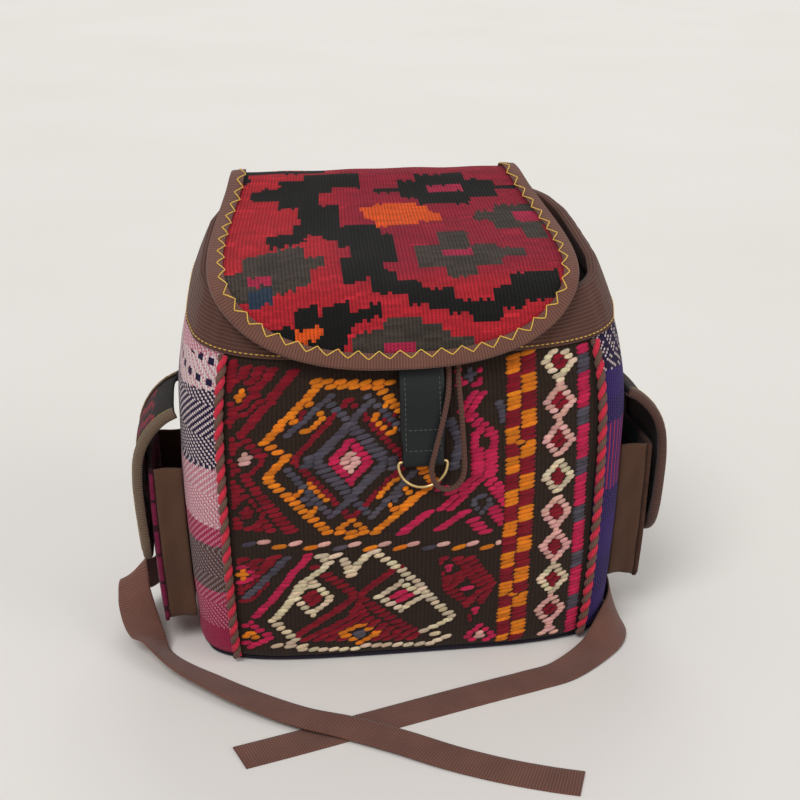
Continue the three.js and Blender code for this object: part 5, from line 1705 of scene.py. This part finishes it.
class Pockets(Operator):
    """Side pockets: their faces, bellows strips, bound flaps and seams"""

    bl_idname = "kilim_bag.pockets"
    bl_label = "Side pockets"

    def execute(self, context):
        weave = tapestry("pocket_weave", 2.4, 1.8, 0.6, streak=0.35)
        twill = canvas("pocket_twill", tint("5c4030"), 1.7, twill=True)
        ribs = {
            "left": ribbed("pocket_ribbon_khaki", tint("6e5a48"), 1.8, worn=0.3),
            "right": ribbed("pocket_ribbon_brown", tint("5a3c33"), 1.8, worn=0.3),
        }
        for hand, side in HANDS:
            self.face(hand, side, weave)
            self.bellows(hand, side, twill)
            self.cover(hand, side, weave, ribs[hand])
        return {"FINISHED"}

    @staticmethod
    def face_shape(hand):
        height = POCKET_TOP - POCKET_FLOORS[hand]
        return even(POCKET_HALF), height - POCKET_CORNER, height, POCKET_POWER

    def face(self, hand, side, weave):
        shape = self.face_shape(hand)
        out = POCKET_OUT + LAYER_GAP
        surface = lambda x, a: side_point(side, POCKET_CENTRE + side * x, POCKET_TOP - a, out)
        red, rose, dark = tint("7e1c44"), tint("a83a5c"), tint("3a1420")
        teal, brown = tint("16302e"), tint("55382c")

        def crown(x, a):
            rise = 1.6 * (1 - (x / POCKET_HALF) ** 2) * np.sin(math.pi * np.clip(a / shape[2], 0.05, 0.95))
            return rise + puff(x, a, 0.4) - 0.6

        def left(x, a):
            row = int(a / 3)
            return dark if row % 7 == 0 else (rose if (row % 7 == 3 and int(x / 3) % 2) else red)

        def right(x, a):
            if x < -14:
                return brown
            return teal if int(a / 3) % 5 else dark

        field = left if side < 0 else right
        piece = apron_cloth(f"pocket_front_{hand}", surface, shape, (0, KILIM), (2.4, 2.4), crown, field, 0.2)
        finish_piece(piece, weave, stands_for=[f"pocket_face_{hand}"])

    def bellows(self, hand, side, twill):
        """Strip between the bag's side and the pocket's face, tucked in the middle of its depth."""
        edge = apron_edge(self.face_shape(hand), POCKET_EDGE_STEP)
        inward = inward_from(edge)
        depths = np.linspace(LAYER_GAP, POCKET_OUT - 0.1, 11)
        tuck = lambda d: 1.0 + 1.3 * math.sin(math.pi * (d - LAYER_GAP) / (POCKET_OUT - LAYER_GAP)) ** 2
        section = [(tuck(d), d) for d in depths] + [(tuck(d) + 1.7, d) for d in depths[::-1]]
        rings = []
        for inset, out in section:
            at = edge + inward * (inset + 0.25 * np.sin(np.arange(len(edge)) / 2.3 + out / 3))[:, None]
            rings.append(side_point(side, POCKET_CENTRE + side * at[:, 0], POCKET_TOP - at[:, 1], out))
        rings = np.array(rings).transpose(1, 0, 2)
        count, sides = rings.shape[:2]
        girth = [d for _, d in section] + [section[0][1]]
        skin = wrapped(count, sides, np.arange(count) * POCKET_EDGE_STEP, girth, folded=True)
        piece = face_outwards(mesh_piece(f"pocket_bellows_{hand}", rings.reshape(-1, 3), *skin))
        finish_piece(piece, twill, stands_for=[f"pocket_gusset_{hand}"])

    def cover(self, hand, side, weave, ribs):
        def surface(x, a):
            x, a = np.broadcast_arrays(np.asarray(x, float), np.asarray(a, float))
            at = POCKET_HANG.at(a)
            return side_point(side, POCKET_CENTRE + side * x, at[..., 2], at[..., 0])

        red, dark, wine, brown = tint("8e2030"), tint("1b1512"), tint("5c1a30"), tint("3c2a24")

        def stripes(x, a):
            row = int(a / 3)
            if side > 0:
                return dark if row % 9 < 2 else brown
            block = (row // 3 + int((x + 60) / 9)) % 3
            return (dark if block == 0 else red if block == 1 else wine) if 4 < row else dark

        name = f"pocket_thread_{hand}"
        shape = (even(POCKET_FLAP_HALF), POCKET_FLAP_SIDE, POCKET_FLAP_LENGTH, POCKET_FLAP_POWER)
        edge, layers = apron_edge(shape), (0.2, POCKET_FLAP_CLOTH)
        lumps = lambda x, a: 0.3 * np.sin(x / 9) * np.sin(a / 13) - 0.5
        piece = apron_cloth(f"pocket_cover_{hand}", surface, shape, layers, (2.6, 2.4), lumps, stripes)
        finish_piece(piece, weave, stands_for=[f"pocket_flap_{hand}"])
        ribbon = edging(f"pocket_ribbon_{hand}", surface, edge, POCKET_FLAP_CLOTH, 6.0)
        finish_piece(ribbon, ribs, stands_for=[f"pocket_flap_binding_{hand}"])
        thread = zigzag(name, surface, edge, POCKET_FLAP_CLOTH + 1.75, 4.4, 0.5, 5.0, 0.3)
        finish_piece(thread, thread_finish(name, tint("a58a52")))


# Back gear

STRAP_WIDTH, STRAP_THICK = 50.0, 10.0
STRAP_END_WIDTH, STRAP_END_THICK = 30.0, 3.0
STRAP_TOP_X, STRAP_BOW = 58.0, 32.0
HAUL_SPAN, HAUL_REACH, HAUL_DROOP, HAUL_Z = 80.0, 27.0, 4.0, 266.0
BUCKLE_BAR, BUCKLE_PLATE = 3.6, 3.2
BUCKLE_SLOTS = (7.0, 6.0)
BUCKLE_SLOT_WIDTH, BUCKLE_WIDTH = 27.4, 34.0
PAD_SIDES, PAD_STEPS = 40, 110
SEAM_SHARE = 0.76


class Carriers(Operator):
    """Haul handle, padded shoulder straps, webbing loops and corner anchors"""

    bl_idname = "kilim_bag.carriers"
    bl_label = "Handle, straps and anchors"

    def execute(self, context):
        self.webbing = ribbed("webbing", tint("5c3a30"), 2.2, depth=0.5, worn=0.3)
        self.thread = thread_finish("brown_thread", tint("9a6e50"))
        self.handle()
        padding = canvas("strap_canvas", tint("4a3027"), 1.6, twill=True)
        for hand, side in HANDS:
            self.strap(hand, side, padding)
            self.loop(hand, side)
            self.anchor(hand, side)
        return {"FINISHED"}

    def sewn(self, name, pairs, slot="brown_webbing", radius=0.34):
        finish_piece(thread_dashes(name, pairs, radius), self.thread)

    def handle(self):
        flat = lambda x: back_point(x, HAUL_Z, 2 * LAYER_GAP + 1.2)
        bowed = lambda x, share: flat(x) + np.array([0, share * HAUL_REACH, -share * HAUL_DROOP])
        end = HAUL_SPAN / 2
        half = ((1, 0), (0.74, 0), (0.6, 0.2), (0.34, 0.78))
        points = [bowed(-end * at, share) for at, share in half] + [bowed(0, 1)]
        points += [bowed(end * at, share) for at, share in half[::-1]]
        route = Line(points, False, 8).dense
        up = unit(back_point(0, HAUL_Z + 5, 0) - back_point(0, HAUL_Z - 5, 0))
        piece = tube("haul_handle", route, np.tile(up, (len(route), 1)), strip_section(22, 2.2, 10, 0.25))
        finish_piece(piece, self.webbing, stands_for=["haul_loop"])
        pairs = []
        for x in (-end * 0.98, -end * 0.8, end * 0.98, end * 0.8):
            for z in np.arange(-8.5, 7.5, 3.0):
                pairs.append([back_point(x, HAUL_Z + z + d, 3.3) for d in (0, 2.1)])
        self.sewn("handle_stitches", pairs, radius=0.35)

    @staticmethod
    def strap_route(side):
        top = RIM_BACK - CASING_HEIGHT - 4
        low = BUCKLE_PIN[2] + 26
        on_back = lambda x, z, room: back_point(side * x, z, LAYER_GAP + room)

        def hang(down, sideways, bow):
            z = top + (low - top) * down
            x = STRAP_TOP_X + (BUCKLE_PIN[0] - STRAP_TOP_X) * sideways
            return np.array([side * x, float(back_at(z)) + bow * STRAP_BOW, z])

        points = [on_back(STRAP_TOP_X, top, 1.5), on_back(STRAP_TOP_X + 0.5, top - 12, 2.5)]
        points += [hang(*place) for place in (
            (0.23, 0.09, 0.51), (0.42, 0.31, 0.86), (0.62, 0.53, 1), (0.81, 0.72, 0.98), (0.93, 0.91, 0.83),
        )]
        points += [np.array([side * BUCKLE_PIN[0], BUCKLE_PIN[1], z]) for z in (low, low - 12)]
        return Line(points).spaced(PAD_STEPS)

    @staticmethod
    def pad_size(share):
        """Width and thickness of a strap at a share of its length."""
        full = min(float(smooth(share, 0.03, 0.3)), 1 - float(smooth(share, 0.62, 0.84)))
        width = STRAP_END_WIDTH + (STRAP_WIDTH - STRAP_END_WIDTH) * math.sqrt(full)
        return width - 0.8, STRAP_END_THICK + (STRAP_THICK - STRAP_END_THICK) * full

    def pad_section(self, share):
        """Pillowed outline with a channel where each seam is sewn."""
        width, thick = self.pad_size(share)
        ripple = 1 - 0.035 * math.cos(share * 74) * (thick - STRAP_END_THICK) / STRAP_THICK
        outline = []
        for a, b in round_section(1, PAD_SIDES):
            x, y = math.copysign(abs(a) ** 0.5, a), math.copysign(abs(b) ** 0.8, b)
            channel = 1 - 0.3 * math.exp(-(((abs(x) - SEAM_SHARE) / 0.07) ** 2)) * (thick / STRAP_THICK)
            outline.append((x * width / 2, y * thick / 2 * ripple * channel))
        return outline

    def strap(self, hand, side, padding):
        route = self.strap_route(side)
        across = np.tile((1.0, 0.0, 0.0), (len(route), 1))
        piece = tube(f"strap_pad_{hand}", route, across, self.pad_section)
        finish_piece(piece, padding, stands_for=[f"shoulder_strap_{hand}"])
        along = tangents(route)
        sideways = square_to(along, across)
        upward = np.cross(along, sideways)
        pairs = []
        for edge in (-1, 1):
            for i in range(5, 103, 2):
                ends = []
                for n in (i, i + 1):
                    width, thick = self.pad_size(n / PAD_STEPS)
                    middle = route[n] + sideways[n] * edge * width / 2 * SEAM_SHARE
                    ends.append([middle + upward[n] * face * (thick / 2 * 0.62 + 0.25) for face in (-1, 1)])
                pairs += zip(*ends)
        self.sewn(f"strap_stitches_{hand}", pairs, "strap_cloth")

    def loop(self, hand, side):
        """Webbing folded round the buckle's bar and sewn to the strap's end."""
        leaf = STRAP_END_THICK / 2 + LAYER_GAP + 0.7
        eye = 2.9 + 0.7
        pin = BUCKLE_PIN * (side, 1, 1)
        route = [(0, -leaf, 24), (0, -leaf, 12)]
        route += [(0, eye * math.cos(a), eye * math.sin(a)) for a in np.linspace(math.pi, 2 * math.pi, 9)]
        route += [(0, leaf, 12), (0, leaf, 24)]
        points = Line([pin + np.array(p) for p in route], True, 4).dense
        across = np.tile((1.0, 0, 0), (len(points), 1))
        piece = tube(f"loop_webbing_{hand}", points, across, strip_section(25.6, 1.3, 8, 0.2))
        finish_piece(piece, self.webbing, stands_for=[f"buckle_loop_{hand}"])
        pairs = []
        for height in (14, 21):
            for x in np.arange(-10.5, 9, 3.2):
                pairs.append([pin + np.array([x + d, leaf + 0.85, height]) for d in (0, 2.2)])
        self.sewn(f"loop_stitches_{hand}", pairs)

    def anchor(self, hand, side):
        """Patch that narrows from the bag's corner to the tape's width."""
        shares = np.linspace(0, 1, 12)
        half = ((ANCHOR_SIZE + (sizes().tape - ANCHOR_SIZE) * shares) / 2 - 0.2)[:, None]
        x = side * ANCHOR_X + np.linspace(1, -1, 12) * half
        z = (ANCHOR_FOOT + shares * ANCHOR_SIZE)[:, None]
        points = back_point(x, z, LAYER_GAP)
        normals = back_point(x, z, 1 + LAYER_GAP) - points
        bulge = np.sin(np.linspace(0.3, 2.84, 12))
        swell = np.outer(bulge, bulge) * 0.4 - 0.4
        piece = slab(f"anchor_patch_{hand}", points, normals, 0.0, ANCHOR_CLOTH, relief=swell)
        finish_piece(piece, self.webbing, stands_for=[f"base_anchor_{hand}"])
        pairs, out = [], LAYER_GAP + ANCHOR_CLOTH + 0.1
        for height in (ANCHOR_FOOT + 0.1 * ANCHOR_SIZE, ANCHOR_FOOT + 0.9 * ANCHOR_SIZE):
            for at in side * ANCHOR_X + np.arange(-11, 10, 3.2):
                pairs.append([back_point(at + d, height, out) for d in (0, 2.2)])
        self.sewn(f"anchor_stitches_{hand}", pairs)


class Buckles(Operator):
    """Ladder buckles: a plate cut by two slots, thickened and rounded"""

    bl_idname = "kilim_bag.buckles"
    bl_label = "Buckles"

    def execute(self, context):
        plastic = moulded("black_plastic", tint("161616"))
        for hand, side in HANDS:
            piece = self.frame(side, f"ladder_buckle_{hand}")
            finish_piece(piece, plastic, f"slider_{hand}", [f"buckle_{hand}"])
        return {"FINISHED"}

    def frame(self, side, name):
        begin_shape()
        top = BUCKLE_BAR / 2
        height = 3 * BUCKLE_BAR + sum(BUCKLE_SLOTS)
        middle = Vector((side * BUCKLE_PIN[0], BUCKLE_PIN[1], BUCKLE_PIN[2] + top - height / 2)) * MM
        bpy.ops.mesh.primitive_plane_add(size=1, location=middle, rotation=(math.pi / 2, 0, 0))
        piece = bpy.context.object
        piece.scale = (BUCKLE_WIDTH * MM, height * MM, 1)
        bpy.ops.object.transform_apply(location=True, rotation=True, scale=True)
        bpy.ops.object.mode_set(mode="EDIT")
        slots = []
        edge = BUCKLE_PIN[2] - top
        for slot in BUCKLE_SLOTS:
            slots.append(((edge - slot) * MM, edge * MM))
            edge -= slot + BUCKLE_BAR
        half = BUCKLE_SLOT_WIDTH / 2 * MM
        cuts = [((middle.x + x, 0, 0), (1, 0, 0)) for x in (-half, half)]
        cuts += [((0, 0, z), (0, 0, 1)) for slot in slots for z in slot]
        for place, facing in cuts:
            bpy.ops.mesh.select_all(action="SELECT")
            bpy.ops.mesh.bisect(plane_co=place, plane_no=facing)
        in_slot = lambda p: abs(p.x - middle.x) < half and any(low < p.z < high for low, high in slots)
        select_where(piece, "FACE", in_slot)
        bpy.ops.mesh.delete(type="FACE")
        reach_x, reach_z = BUCKLE_WIDTH / 2 * MM - 1e-5, height / 2 * MM - 1e-5
        in_corner = lambda p: abs(p.x - middle.x) > reach_x and abs(p.z - middle.z) > reach_z
        select_where(piece, "VERT", in_corner)
        bpy.ops.mesh.bevel(offset=2.5 * MM, segments=4, affect="VERTICES")
        bpy.ops.object.mode_set(mode="OBJECT")
        thick = piece.modifiers.new("thick", "SOLIDIFY")
        thick.thickness, thick.offset = (BUCKLE_PLATE - 0.2) * MM, 0
        rounded = piece.modifiers.new("rounded", "BEVEL")
        rounded.width, rounded.segments, rounded.limit_method = 0.7 * MM, 3, "ANGLE"
        for modifier in ("thick", "rounded"):
            bpy.ops.object.modifier_apply(modifier=modifier)
        return finish_shape(piece, name, 40)


# Add-on

OPERATORS = (Stage, Cords, Tapes, Front, Sides, BackAndMouth, Flap, Closure, Pockets, Carriers, Buckles)


class BagPanel(Panel):
    """Makes the bag's looks piece by piece"""

    bl_idname = "VIEW3D_PT_kilim_bag"
    bl_label = "Kilim Backpack"
    bl_space_type = "VIEW_3D"
    bl_region_type = "UI"
    bl_category = "Kilim Backpack"

    def draw(self, context):
        layout = self.layout
        for group in (context.scene.bag_sizes, context.scene.bag_colours):
            box = layout.box()
            for key in group.__annotations__:
                box.prop(group, key)
        for operator in OPERATORS:
            layout.operator(operator.bl_idname, text=operator.bl_label)


CLASSES = (BagColours, BagSizes, *OPERATORS, BagPanel)


def register():
    for cls in CLASSES:
        bpy.utils.register_class(cls)
    bpy.types.Scene.bag_colours = PointerProperty(type=BagColours)
    bpy.types.Scene.bag_sizes = PointerProperty(type=BagSizes)


def unregister():
    del bpy.types.Scene.bag_sizes
    del bpy.types.Scene.bag_colours
    for cls in reversed(CLASSES):
        bpy.utils.unregister_class(cls)


def main():
    register()
    for operator in OPERATORS:
        group, name = operator.bl_idname.split(".")
        getattr(getattr(bpy.ops, group), name)()


if __name__ == "__main__":
    main()
